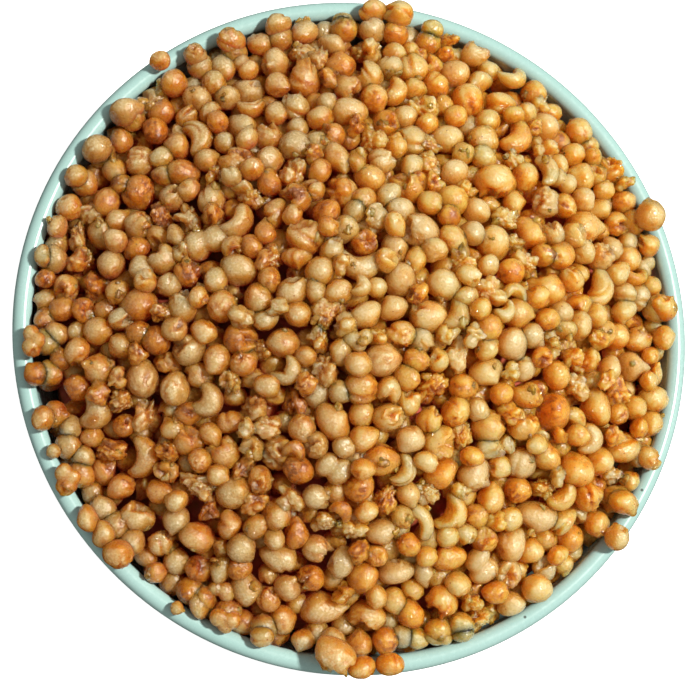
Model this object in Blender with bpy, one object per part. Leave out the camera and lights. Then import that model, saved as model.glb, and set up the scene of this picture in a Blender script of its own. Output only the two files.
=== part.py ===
"""Bowl of fried puffed grain pearls.

A turned, glazed bowl with a rolled rim stands on its foot ring. A heap of small puffed pearls
fills it and rises above the rim. The bowl is one solid. The heap is one solid too: a core that
lies in the bowl, with the larger pearls of its top layer fused to it.

Metres, +Z up, origin at the middle of the foot ring's underside.
"""

import math
import random

import bmesh
import bpy
from mathutils import Matrix, Vector, noise

MM = 0.001

# Bowl
BOWL_RADIUS = 80.0 * MM
BOWL_HEIGHT = 58.0 * MM
RIM_THICKNESS = 4.4 * MM
ROLL = RIM_THICKNESS / 2
LIP = 0.35 * MM
MOUTH_RADIUS = BOWL_RADIUS - RIM_THICKNESS
INNER_RADIUS = MOUTH_RADIUS + 0.2 * MM
WALL_TOP = BOWL_HEIGHT - 0.72 * RIM_THICKNESS
FLARE = math.radians(60.0)
FOOT_RADIUS = 36.0 * MM
FOOT_WIDTH = 4.4 * MM
FOOT_HEIGHT = 3.0 * MM
FOOT_CHAMFER = 0.5 * MM
RECESS_DEPTH = 2.4 * MM
FLOOR_LEVEL = 7.0 * MM
FLOOR_RADIUS = 31.0 * MM
TURNED_STEPS = 56
OUTER_POINTS = 6
INNER_POINTS = 4
RIM_POINTS = 7

# Heap
GAP = 0.3 * MM
HEAP_RISE = 25.0 * MM
HEAP_POWER = 1.75
HEAP_SHIFT = Vector((0.8 * MM, -0.4 * MM))
HEAP_REACH = 76.0 * MM
SKIRT = 1.15
SWELL_HEIGHT = 3.2 * MM
SWELL_LENGTH = 21.0 * MM
SWELL_START = Vector((3.1, 7.7, 0.4))
SLOPE_STEP = 2.0 * MM
PEARL_BED = 2.7 * MM
EDGE_DEPTH = 4.6 * MM
EDGE_BAND = 2.0 * MM
SHOULDER_DEPTH = 0.6 * MM
SHOULDER_INSET = 1.2 * MM
CORE_RINGS = 8
CORE_CORNERS = 6

# Pearls
PEARL_COUNT = 350
PEARL_TRIES = 26
LARGEST = 8.0 * MM
SMALLEST = 4.8 * MM
SIZE_FALL = 0.42
SMALLER_AT_LEFT = 0.06
KIND_SHARES = (("twin", 0.02), ("crescent", 0.04), ("long", 0.12), ("crusty", 0.15), ("popped", 0.23))
SLIM_PIECE = (0.62, 0.84)
SLIM_ROUND = (0.84, 0.98)
UNEVEN = 0.5 * MM
EDGE_CLEARANCE = 0.45 * MM
LEANING = 5.6 * MM
LEANING_LIFT = 1.4 * MM
SIGHT_STEPS = 12
FACES_KEPT = 0.46
SEED = 29

BOWL_COLOUR = (0.56, 0.80, 0.74, 1.0)
SNACK_COLOUR = (0.55, 0.27, 0.075, 1.0)

# How the photograph looks at the bowl: the places of the pieces below are read from it.
VIEW_DISTANCE = 650.0 * MM
VIEW_TILT = math.radians(12.6)
VIEW_SIDE = math.radians(225.0)
VIEW_AIM = Vector((-1.4 * MM, -2.4 * MM, BOWL_HEIGHT - RIM_THICKNESS / 2))
VIEW_FOCUS = 2768.0
PHOTO_MIDDLE = (349.0, 343.0)

# The pieces along the rim and those that stand out in the heap: the pixel at their middle, their
# length and width in millimetres, the turn of their long axis in degrees, and their kind.
SHOWN_PIECES = (
    (663, 308, 6.5, 5.6, 0, "popped"), (650, 286, 4.6, 4.2, 0, "round"),
    (648, 245, 5.3, 4.9, 0, "popped"), (650, 215, 6.7, 6.3, 60, "popped"),
    (623, 203, 5.3, 4.9, 0, "round"), (611, 169, 5.8, 5.3, 0, "popped"),
    (588, 146, 4.9, 4.2, 0, "round"), (578, 131, 6.0, 5.1, 110, "round"),
    (533, 94, 6.0, 5.1, 90, "round"), (512, 79, 6.3, 5.6, 40, "crescent"),
    (489, 72, 5.3, 4.6, 0, "round"), (475, 54, 6.0, 5.3, 0, "popped"),
    (432, 30, 4.9, 4.4, 0, "round"), (398, 14, 6.5, 6.0, 20, "popped"),
    (374, 7, 6.3, 3.5, 5, "long"), (343, 22, 4.6, 4.2, 0, "round"),
    (303, 21, 3.5, 2.8, 30, "crusty"), (278, 22, 5.8, 4.6, 20, "long"),
    (231, 40, 6.0, 5.1, 0, "popped"), (195, 54, 4.9, 4.4, 0, "popped"),
    (160, 61, 4.4, 3.9, 0, "round"), (165, 84, 5.6, 3.2, 10, "crusty"),
    (126, 110, 7.4, 5.8, 15, "long"), (97, 149, 6.3, 5.8, 0, "round"),
    (76, 176, 5.1, 4.6, 0, "round"), (69, 208, 5.6, 5.3, 0, "round"),
    (57, 226, 4.9, 4.2, 60, "round"), (44, 256, 4.6, 4.2, 70, "round"),
    (45, 278, 4.4, 3.9, 0, "round"), (56, 335, 5.6, 4.9, 0, "round"),
    (34, 341, 6.5, 5.1, 90, "heart"), (37, 374, 5.1, 4.9, 0, "round"),
    (43, 418, 5.1, 4.6, 80, "round"), (54, 451, 3.2, 3.0, 0, "round"),
    (68, 479, 6.5, 5.6, 100, "heart"), (86, 519, 5.8, 4.2, 105, "long"),
    (104, 534, 5.6, 4.6, 80, "round"), (118, 554, 6.5, 5.8, 0, "round"),
    (156, 572, 4.6, 4.2, 0, "round"), (178, 608, 3.0, 2.8, 0, "round"),
    (199, 606, 5.8, 3.7, 110, "long"), (225, 621, 6.3, 5.3, 0, "heart"),
    (262, 636, 4.9, 4.4, 0, "round"), (303, 640, 4.9, 4.2, 0, "round"),
    (334, 656, 8.6, 4.6, 155, "popped"), (362, 667, 5.8, 4.6, 0, "round"),
    (390, 664, 5.8, 4.6, 0, "round"), (440, 638, 6.3, 3.5, 170, "long"),
    (463, 632, 4.9, 4.2, 0, "round"), (484, 620, 6.3, 3.9, 15, "crusty"),
    (511, 603, 6.0, 4.9, 30, "round"), (537, 588, 6.7, 6.0, 0, "round"),
    (562, 564, 4.9, 4.4, 0, "round"), (617, 537, 5.6, 5.1, 110, "popped"),
    (623, 502, 7.2, 4.9, 165, "round"), (630, 481, 4.4, 4.2, 0, "round"),
    (649, 458, 6.0, 4.6, 150, "popped"), (651, 423, 5.8, 5.1, 60, "round"),
    (652, 399, 7.2, 5.6, 0, "round"), (663, 338, 5.3, 4.4, 80, "round"),
    (367, 50, 6.5, 6.3, 0, "crusty"), (348, 111, 8.4, 6.7, 0, "long"),
    (199, 137, 7.9, 5.6, 110, "crescent"), (237, 164, 7.7, 7.2, 0, "popped"),
    (241, 126, 7.7, 5.6, 130, "long"), (296, 147, 7.4, 6.7, 0, "round"),
    (446, 139, 7.4, 6.3, 0, "round"), (547, 171, 7.0, 4.6, 100, "crescent"),
    (237, 223, 8.6, 5.8, 55, "crescent"), (305, 238, 7.7, 7.0, 160, "popped"),
    (411, 187, 8.1, 6.5, 15, "popped"), (496, 182, 8.8, 6.0, 15, "popped"),
    (584, 228, 8.4, 7.2, 0, "round"), (163, 260, 6.5, 6.3, 0, "popped"),
    (207, 243, 10.0, 6.5, 8, "twin"), (237, 269, 8.1, 6.3, 160, "long"),
    (293, 291, 7.4, 5.6, 40, "long"), (360, 266, 8.8, 6.0, 0, "crescent"),
    (444, 285, 7.2, 6.3, 0, "round"), (492, 243, 7.9, 7.0, 0, "round"),
    (547, 289, 8.8, 7.0, 170, "long"), (358, 341, 6.3, 4.6, 5, "heart"),
    (366, 315, 7.9, 5.1, 35, "long"), (428, 317, 7.7, 7.0, 0, "popped"),
    (457, 316, 7.2, 5.6, 60, "crescent"), (553, 345, 6.5, 5.1, 80, "crusty"),
    (608, 336, 9.3, 6.3, 0, "twin"), (97, 412, 7.7, 6.7, 70, "crescent"),
    (209, 401, 7.2, 6.3, 60, "crescent"), (288, 372, 6.3, 5.1, 50, "crescent"),
    (382, 360, 7.9, 6.7, 20, "round"), (145, 458, 8.6, 6.3, 75, "crescent"),
    (488, 426, 7.2, 7.0, 0, "popped"), (622, 446, 8.8, 6.0, 8, "popped"),
    (137, 517, 7.9, 7.0, 10, "popped"), (316, 497, 5.6, 5.1, 0, "popped"),
    (424, 522, 7.9, 2.6, 115, "crescent"), (452, 514, 7.9, 6.0, 70, "crescent"),
    (537, 519, 9.7, 6.3, 170, "long"), (246, 588, 7.9, 6.3, 100, "long"),
    (278, 558, 7.9, 5.6, 160, "long"), (398, 573, 7.7, 4.6, 10, "long"),
    (325, 609, 10.2, 6.3, 2, "long"), (367, 616, 8.1, 6.3, 175, "popped"),
)

# The balls that make up a piece of each kind: their middles and radii as shares of half the
# length, along the piece and across it.
KINDS = {
    "round": ((0.0, 0.0, 1.0),),
    "long": ((0.0, 0.0, 1.0),),
    "popped": ((0.0, 0.0, 1.0),),
    "crusty": ((0.0, 0.0, 1.0),),
    "twin": ((-0.40, 0.0, 0.66), (0.44, 0.0, 0.58)),
    "heart": ((-0.40, 0.10, 0.60), (0.42, 0.10, 0.56), (0.0, -0.42, 0.46)),
    "crescent": ((-0.50, 0.22, 0.44), (0.0, -0.14, 0.50), (0.50, 0.22, 0.44)),
}


def clear_scene():
    """Remove the objects of the open file."""
    for old in list(bpy.data.objects):
        bpy.data.objects.remove(old)


def principled(name, colour, roughness, coat):
    """A dielectric material of one colour."""
    material = bpy.data.materials.new(name)
    material.use_nodes = True
    shader = material.node_tree.nodes["Principled BSDF"]
    shader.inputs["Base Color"].default_value = colour
    shader.inputs["Roughness"].default_value = roughness
    shader.inputs["Metallic"].default_value = 0.0
    shader.inputs["Coat Weight"].default_value = coat
    material.diffuse_color = colour
    return material


def add_object(name, mesh, material):
    """Link a mesh to the scene as an object of its own."""
    obj = bpy.data.objects.new(name, mesh)
    mesh.materials.append(material)
    bpy.context.scene.collection.objects.link(obj)
    return obj


def wall_curve(inner_radius, outer_radius, low, high, count):
    """Points up a flared wall, from its flat floor to just under the rim."""
    points = []
    for i in range(count + 1):
        turn = FLARE * i / count
        along = math.sin(turn) / math.sin(FLARE)
        up = (1.0 - math.cos(turn)) / (1.0 - math.cos(FLARE))
        points.append((inner_radius + (outer_radius - inner_radius) * along, low + (high - low) * up))
    return points


def outer_wall():
    """The outside of the wall, upwards from the foot ring."""
    return wall_curve(FOOT_RADIUS, BOWL_RADIUS - LIP, FOOT_HEIGHT, WALL_TOP, OUTER_POINTS)


def inner_wall():
    """The inside of the wall, upwards from the floor."""
    return wall_curve(FLOOR_RADIUS, INNER_RADIUS, FLOOR_LEVEL, WALL_TOP, INNER_POINTS)


def rim_arc():
    """The rolled rim, from its inner side over the top to its outer side."""
    points = []
    for i in range(RIM_POINTS):
        turn = math.pi * (1.0 - i / (RIM_POINTS - 1))
        radius = BOWL_RADIUS - ROLL + ROLL * math.cos(turn)
        points.append((radius, BOWL_HEIGHT - ROLL + ROLL * math.sin(turn)))
    return points


def bowl_profile():
    """The section of the bowl: down its outer side, under the foot, and up the inner side."""
    foot_inner = FOOT_RADIUS - FOOT_WIDTH
    foot = [
        (FOOT_RADIUS, FOOT_CHAMFER),
        (FOOT_RADIUS - FOOT_CHAMFER, 0.0),
        (foot_inner + FOOT_CHAMFER, 0.0),
        (foot_inner, FOOT_CHAMFER),
        (foot_inner - FOOT_CHAMFER, RECESS_DEPTH),
        (0.0, RECESS_DEPTH),
    ]
    return list(reversed(outer_wall())) + foot + [(0.0, FLOOR_LEVEL)] + inner_wall() + rim_arc()


def build_bowl(glaze):
    """Turn the bowl's section round the vertical axis."""
    section = bowl_profile()
    mesh = bpy.data.meshes.new("bowl")
    edges = [(i, i + 1) for i in range(len(section) - 1)]
    edges.remove((section.index((0.0, RECESS_DEPTH)), section.index((0.0, FLOOR_LEVEL))))
    edges.append((len(section) - 1, 0))
    mesh.from_pydata([(radius, 0.0, height) for radius, height in section], edges, [])
    bowl = add_object("bowl", mesh, glaze)
    turn = bowl.modifiers.new("turned", "SCREW")
    turn.axis = "Z"
    turn.angle = math.tau
    turn.steps = TURNED_STEPS
    turn.render_steps = TURNED_STEPS
    turn.use_merge_vertices = True
    turn.merge_threshold = 0.01 * MM
    turn.use_smooth_shade = True
    return bowl


def outline_height(x, y):
    """Height of the heap's uneven outline above the point x, y."""
    offset = math.hypot(x - HEAP_SHIFT.x, y - HEAP_SHIFT.y) / HEAP_REACH
    dome = HEAP_RISE * (1.0 - min(offset, SKIRT) ** HEAP_POWER)
    swell = noise.noise(Vector((x, y, 0.0)) / SWELL_LENGTH + SWELL_START)
    return BOWL_HEIGHT + dome + SWELL_HEIGHT * swell


def inner_radius_at(height):
    """Radius of the bowl's inner wall at a height, without the rim."""
    wall = inner_wall()
    for (low_r, low_z), (high_r, high_z) in zip(wall, wall[1:]):
        if height <= high_z:
            return low_r + (high_r - low_r) * max(height - low_z, 0.0) / (high_z - low_z)
    return wall[-1][0]


def add_ring(shape, radius, count, height):
    """A ring of points; height is a level, or None to follow the heap's outline, a pearl deep."""
    ring = []
    for i in range(count):
        turn = math.tau * i / count
        x = radius * math.cos(turn)
        y = radius * math.sin(turn)
        level = outline_height(x, y) - PEARL_BED if height is None else height
        ring.append(shape.verts.new((x, y, level)))
    return ring


def join_rings(shape, inside, outside, k):
    """Fill the band between two rings of a six-sided disc, the outer one with k points a side."""
    for side in range(CORE_CORNERS):
        for i in range(k):
            a = outside[(side * k + i) % len(outside)]
            b = outside[(side * k + i + 1) % len(outside)]
            c = inside[(side * (k - 1) + i) % len(inside)]
            shape.faces.new((a, b, c))
            if i < k - 1:
                d = inside[(side * (k - 1) + i + 1) % len(inside)]
                shape.faces.new((c, b, d))


def build_core():
    """The heap without its pearls: it lies in the bowl and is domed above the rim."""
    shape = bmesh.new()
    edge_level = BOWL_HEIGHT - EDGE_DEPTH
    edge_radius = inner_radius_at(edge_level) - GAP
    shoulder_radius = edge_radius - SHOULDER_INSET
    sides = CORE_CORNERS * CORE_RINGS
    inside = add_ring(shape, 0.0, 1, None)
    for k in range(1, CORE_RINGS + 1):
        level = BOWL_HEIGHT - SHOULDER_DEPTH if k == CORE_RINGS else None
        outside = add_ring(shape, shoulder_radius * k / CORE_RINGS, CORE_CORNERS * k, level)
        join_rings(shape, inside, outside, k)
        inside = outside
    above = outside
    edge = [(edge_radius, edge_level)]
    walls = [(radius - GAP, height + GAP) for radius, height in reversed(inner_wall())]
    edge += [point for point in walls if point[1] < edge_level - EDGE_BAND]
    for radius, height in edge:
        below = add_ring(shape, radius, sides, height)
        for i in range(sides):
            j = (i + 1) % sides
            shape.faces.new((above[i], below[i], below[j], above[j]))
        above = below
    shape.faces.new(list(reversed(above)))
    bmesh.ops.recalc_face_normals(shape, faces=shape.faces)
    mesh = bpy.data.meshes.new("snack_heap")
    shape.to_mesh(mesh)
    shape.free()
    return mesh


def pearl_sizes():
    """Diameters of the scattered pearls, the largest first."""
    sizes = []
    for i in range(PEARL_COUNT):
        share = i / (PEARL_COUNT - 1)
        sizes.append(SMALLEST + (LARGEST - SMALLEST) * (1.0 - share ** SIZE_FALL))
    return sizes


def edge_limit(radius):
    """How far out the middle of a pearl may lie and stay clear of the bowl."""
    return MOUTH_RADIUS - EDGE_CLEARANCE - radius


def seen_place(pixel_x, pixel_y, half_length, half_width):
    """Where a piece rests that the photograph shows in the line of sight through a pixel."""
    back = Vector((math.cos(VIEW_SIDE), math.sin(VIEW_SIDE), 0.0)) * math.sin(VIEW_TILT)
    back.z = math.cos(VIEW_TILT)
    right = Vector((0.0, 1.0, 0.0)).cross(back).normalized()
    up = back.cross(right)
    across = (pixel_x - PHOTO_MIDDLE[0]) / VIEW_FOCUS
    down = (pixel_y - PHOTO_MIDDLE[1]) / VIEW_FOCUS
    sight = right * across - up * down - back
    camera = VIEW_AIM + back * VIEW_DISTANCE
    height = BOWL_HEIGHT
    for _ in range(SIGHT_STEPS):
        place = camera + sight * ((height - camera.z) / sight.z)
        height = (height + rest_height(place.x, place.y, half_length, half_width, 0.0)) / 2
    return place.x, place.y


def shown_pearls():
    """The pieces that stand out. One that the core doesn't reach leans on a pearl just inside it."""
    shoulder = inner_radius_at(BOWL_HEIGHT - EDGE_DEPTH) - GAP - SHOULDER_INSET
    inside = edge_limit(LEANING / 2)
    placed = []
    for pixel_x, pixel_y, length, width, turn, kind in SHOWN_PIECES:
        half_length = length / 2 * MM
        half_width = width / 2 * MM
        x, y = seen_place(pixel_x, pixel_y, half_length, half_width)
        placed.append((x, y, length * MM, width * MM, math.radians(turn), kind, 0.0))
        reach = math.hypot(x, y)
        above = rest_height(x, y, half_length, half_width, 0.0) - (BOWL_HEIGHT - SHOULDER_DEPTH)
        if reach > shoulder and math.hypot(reach - shoulder, above) > half_width - GAP:
            share = inside / reach
            placed.append((x * share, y * share, LEANING, LEANING, 0.0, "round", LEANING_LIFT))
    return placed


def pick_kind(shape):
    """The kind of a scattered piece, from a draw between nothing and one."""
    for kind, share in KIND_SHARES:
        if shape < share:
            return kind
        shape -= share
    return "round"


def scatter_pearls():
    """Places and sizes of the pearls that show, spread evenly: each is the best of some tries."""
    draw = random.Random(SEED)
    placed = shown_pearls()
    for size in pearl_sizes():
        best = None
        best_room = 0.0
        for _ in range(PEARL_TRIES):
            reach = edge_limit(size / 2) * math.sqrt(draw.random())
            turn = draw.uniform(0.0, math.tau)
            x = reach * math.cos(turn)
            y = reach * math.sin(turn)
            room = min(math.hypot(x - p[0], y - p[1]) - (p[2] + size) / 2 for p in placed)
            if best is None or room > best_room:
                best = (x, y)
                best_room = room
        kind = pick_kind(draw.random())
        slim = draw.uniform(*(SLIM_ROUND if kind in ("round", "popped") else SLIM_PIECE))
        length = size * (1.0 - SMALLER_AT_LEFT * max(-best[0], 0.0) / BOWL_RADIUS) / math.sqrt(slim)
        lift = draw.uniform(-UNEVEN, UNEVEN)
        placed.append((*best, length, length * slim, draw.uniform(0.0, math.pi), kind, lift))
    return placed


def heap_slope(x, y):
    """The direction in which the heap's outline faces at x, y."""
    rise_x = outline_height(x + SLOPE_STEP, y) - outline_height(x - SLOPE_STEP, y)
    rise_y = outline_height(x, y + SLOPE_STEP) - outline_height(x, y - SLOPE_STEP)
    return Vector((-rise_x, -rise_y, 2.0 * SLOPE_STEP)).normalized()


def rest_height(x, y, half_length, half_width, lift):
    """Height of a piece's middle: its top reaches the outline, and it stays clear of the rim."""
    height = outline_height(x, y) - half_width + lift
    sideways = math.hypot(x, y) - (BOWL_RADIUS - ROLL)
    clear = ROLL + EDGE_CLEARANCE + half_length
    if abs(sideways) < clear:
        height = max(height, BOWL_HEIGHT - ROLL + math.sqrt(clear * clear - sideways * sideways))
    return height


def add_ball(collection, middle, radius, stretch, turn):
    """A few-sided ball, stretched along its own axes and then turned."""
    shape = bmesh.new()
    bmesh.ops.create_icosphere(shape, subdivisions=1, radius=radius)
    bmesh.ops.transform(shape, matrix=Matrix.Translation(middle) @ turn @ stretch, verts=shape.verts)
    mesh = bpy.data.meshes.new("pearl")
    shape.to_mesh(mesh)
    shape.free()
    collection.objects.link(bpy.data.objects.new("pearl", mesh))


def add_pearl(collection, place, draw):
    """One piece as few-sided balls, laid along the heap's slope."""
    x, y, length, width, turn, kind, lift = place
    half = length / 2
    out = heap_slope(x, y)
    along = Vector((math.cos(turn), math.sin(turn), 0.0))
    along = (along - out * along.dot(out)).normalized()
    across = out.cross(along)
    frame = Matrix((along, across, out)).transposed().to_4x4()
    for u, v, share in KINDS[kind]:
        radius = share * half
        slim = width / length if len(KINDS[kind]) == 1 else 1.0
        middle = Vector((x, y, 0.0)) + (along * u + across * v) * half
        middle.z = rest_height(middle.x, middle.y, radius, radius * slim, lift)
        axis = Vector((draw.uniform(-1.0, 1.0), draw.uniform(-1.0, 1.0), 1.0)).normalized()
        spin = Matrix.Rotation(draw.uniform(0.0, math.tau), 4, axis)
        add_ball(collection, middle, radius, Matrix.Diagonal((1.0, slim, slim, 1.0)) @ spin, frame)


def keep_main_shell(mesh):
    """Keep the largest shell alone, which fills sealed hollows and drops loose scraps."""
    shape = bmesh.new()
    shape.from_mesh(mesh)
    bmesh.ops.triangulate(shape, faces=shape.faces)
    shells = []
    unseen = set(shape.verts)
    while unseen:
        todo = [unseen.pop()]
        shell = set(todo)
        while todo:
            vert = todo.pop()
            for edge in vert.link_edges:
                other = edge.other_vert(vert)
                if other in unseen:
                    unseen.discard(other)
                    shell.add(other)
                    todo.append(other)
        shells.append(shell)
    shells.sort(key=len)
    scraps = [vert for shell in shells[:-1] for vert in shell]
    bmesh.ops.delete(shape, geom=scraps, context="VERTS")
    shape.to_mesh(mesh)
    shape.free()


def build_heap(coating):
    """Fuse the pearls that show to the core."""
    heap = add_object("snack_heap", build_core(), coating)
    pearls = bpy.data.collections.new("pearls")
    draw = random.Random(SEED + 1)
    for place in scatter_pearls():
        add_pearl(pearls, place, draw)
    union = heap.modifiers.new("fused", "BOOLEAN")
    union.operation = "UNION"
    union.operand_type = "COLLECTION"
    union.collection = pearls
    union.solver = "EXACT"
    bpy.context.view_layer.update()
    graph = bpy.context.evaluated_depsgraph_get()
    fused = bpy.data.meshes.new_from_object(heap.evaluated_get(graph))
    heap.modifiers.remove(union)
    heap.data = fused
    for pearl in list(pearls.objects):
        bpy.data.objects.remove(pearl)
    bpy.data.collections.remove(pearls)
    keep_main_shell(fused)
    fewer = heap.modifiers.new("fewer_faces", "DECIMATE")
    fewer.ratio = FACES_KEPT
    return heap


def main():
    """Make the bowl and what fills it."""
    clear_scene()
    build_bowl(principled("glaze", BOWL_COLOUR, 0.12, 0.6))
    build_heap(principled("puffed_grain", SNACK_COLOUR, 0.45, 0.1))


main()
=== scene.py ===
"""Bowl of fried puffed grain pearls: the finished surfaces, laid over the solids of the frame."""

import math
import random
from itertools import product

import bpy
import numpy as np
from bpy.props import FloatProperty, FloatVectorProperty, IntProperty, PointerProperty
from mathutils import Matrix, Vector, noise


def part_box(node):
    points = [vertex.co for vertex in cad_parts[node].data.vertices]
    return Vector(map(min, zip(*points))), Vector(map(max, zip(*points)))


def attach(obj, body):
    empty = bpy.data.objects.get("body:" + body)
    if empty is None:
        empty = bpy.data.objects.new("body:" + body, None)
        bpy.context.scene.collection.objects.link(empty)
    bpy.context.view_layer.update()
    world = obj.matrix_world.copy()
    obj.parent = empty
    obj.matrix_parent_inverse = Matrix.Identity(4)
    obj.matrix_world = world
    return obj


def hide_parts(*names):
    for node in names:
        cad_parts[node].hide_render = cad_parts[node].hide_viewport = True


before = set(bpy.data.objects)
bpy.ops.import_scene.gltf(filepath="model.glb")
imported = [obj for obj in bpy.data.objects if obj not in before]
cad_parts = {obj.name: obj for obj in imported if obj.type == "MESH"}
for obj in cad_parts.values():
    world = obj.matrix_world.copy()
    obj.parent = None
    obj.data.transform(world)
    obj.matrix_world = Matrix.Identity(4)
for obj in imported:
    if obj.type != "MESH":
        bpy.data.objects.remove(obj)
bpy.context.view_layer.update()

bl_info = {
    "name": "Bowl of Puffed Grain Pearls",
    "version": (1, 0, 0),
    "blender": (4, 5, 0),
    "location": "3D View > Sidebar > Snack Bowl",
    "description": "A glazed bowl heaped with fried puffed grain pearls",
    "category": "Object",
}

MM = 0.001
RIM_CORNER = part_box("bowl")[1]
RIM_RADIUS = RIM_CORNER.x
RIM_LEVEL = RIM_CORNER.z
GAP = 0.3 * MM

# How the photograph looks at the bowl. Places given in pixels are read through this view.
VIEW_TILT = math.radians(12.6)
VIEW_SIDE = math.radians(225.0)
PHOTO_WIDTH = 698.0
PHOTO_MIDDLE = (349.0, 343.0)
VIEW_SHIFT = Vector((-1.4 * MM, -2.4 * MM))
SENSOR_WIDTH = 36.0
SIGHT_STEPS = 12
RIM_SPECKS = ((642, 490), (525, 617))

# The section of the bowl, as the solid has it.
FLARE = math.radians(60.0)
FOOT_RADIUS = 36.0 * MM
FOOT_WIDTH = 4.4 * MM
FOOT_HEIGHT = 3.0 * MM
FOOT_CHAMFER = 0.5 * MM
RECESS_DEPTH = 2.4 * MM
FLOOR_LEVEL = 7.0 * MM
FLOOR_RADIUS = 31.0 * MM
LIP = 0.35 * MM
MOUTH_INSET = 0.2 * MM
WALL_SHARE = 0.72
INNER_POINTS = 4
WALL_STEPS = 26
ROLL_STEPS = 18
BOWL_TURNS = 192

# The core under the pearls: rings over its top, and the low cells in it.
CORE_WALL_STEPS = 12
CORE_RINGS = 46
CORE_TURNS = 144
CORE_CELL = 6.0 * MM
CORE_DENT = 2.0 * MM

# The uneven outline of the heap, and the rule that spreads the pearls that show over it.
HEAP_POWER = 1.75
HEAP_SHIFT = Vector((0.8 * MM, -0.4 * MM))
HEAP_REACH = 76.0 * MM
SKIRT = 1.15
SWELL_LENGTH = 21.0 * MM
SWELL_START = Vector((3.1, 7.7, 0.4))
SLOPE_STEP = 2.0 * MM
SHOULDER_DEPTH = 0.6 * MM
SHOULDER_INSET = 1.2 * MM
EDGE_DEPTH = 4.6 * MM
PEARL_TRIES = 26
SIZE_FALL = 0.42
SMALLER_AT_LEFT = 0.06
KIND_SHARES = (("twin", 0.02), ("crescent", 0.04), ("long", 0.12), ("crusty", 0.15), ("popped", 0.23))
POCKET_SHARES = (("crusty", 0.42), ("popped", 0.22), ("crescent", 0.03))
CRUST_SIDE = 0.20
SLIM_PIECE = (0.62, 0.84)
SLIM_ROUND = (0.84, 0.98)
UNEVEN = 0.5 * MM
EDGE_CLEARANCE = 0.45 * MM
LEANING = 5.6 * MM
LEANING_LIFT = 1.4 * MM
LOWER_DEPTH = 2.9 * MM
EDGE_RING = (70.0 * MM, 76.4 * MM)
FILL_SEED = 7
FILL_INSET = 2.6 * MM
FILL_SIZES = {
    "lower": (4.6 * MM, 6.2 * MM),
    "edge": (4.0 * MM, 5.4 * MM),
    "pocket": (4.4 * MM, 6.0 * MM),
}
FILL_TRIES = {"lower": 3, "edge": 8, "pocket": 8}
CRUMB_SIZES = (1.2 * MM, 2.8 * MM)
CRUMB_REACH = 74.0 * MM
CRUMB_LEAN = 1.35
CRUMB_SINK = 0.92
PROUDEST = {"edge": 2.6 * MM, "pocket": 2.3 * MM}
ROLL_STEP = 0.9 * MM
ROLL_REACH = 6.0 * MM
ROLL_RADII = 4.5
ROLL_TURNS = 6

# The open gaps that the photograph has along the rim, at the left and at the bottom.
GAP_SIDE = Vector((-0.91, -0.42))
GAP_START = 63.0 * MM
GAP_SINK = 9.0 * MM

# Shapes and tones of the pieces.
JOIN_SHARPNESS = 18.0
CLUMP_BALLS = 6
THINNEST = 0.16
WARP = 0.07
FULLNESS = 1.16
CLUSTER = 16.0 * MM
CREVICE_WIDTH = 0.65 * MM
SHADE_START = 2.6 * MM
SHADE_DEPTH = 7.0 * MM

# Surfaces. Waves are counted to a metre.
PLACE_MARGIN = 0.03
PATCH_WAVES = 480.0
FINE_WAVES = 1750.0
PORE_SPACING = 2.4 * MM
# Reach to each side of the middle over which the painted shade on the left of the heap fades in.
PAINTED_SHADE_REACH = 22.0 * MM
GRAIN_RELIEF = 0.16 * MM
FILM_RELIEF = 0.50 * MM
SKIN_DEPTH = 26.0 * MM
SKIN_SHARES = (0.46, 0.40, 0.34)
CORE_WAVES = 260.0
GLAZE_WAVES = 38.0
GLAZE_FINE_WAVES = 900.0
SPECK_COLOUR = (0.05, 0.05, 0.04)
SPECK_EDGE = (0.45 * MM, 0.25 * MM)
FLOOR_WAVES = 120.0
FLOOR_HALF = 3.0

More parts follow.
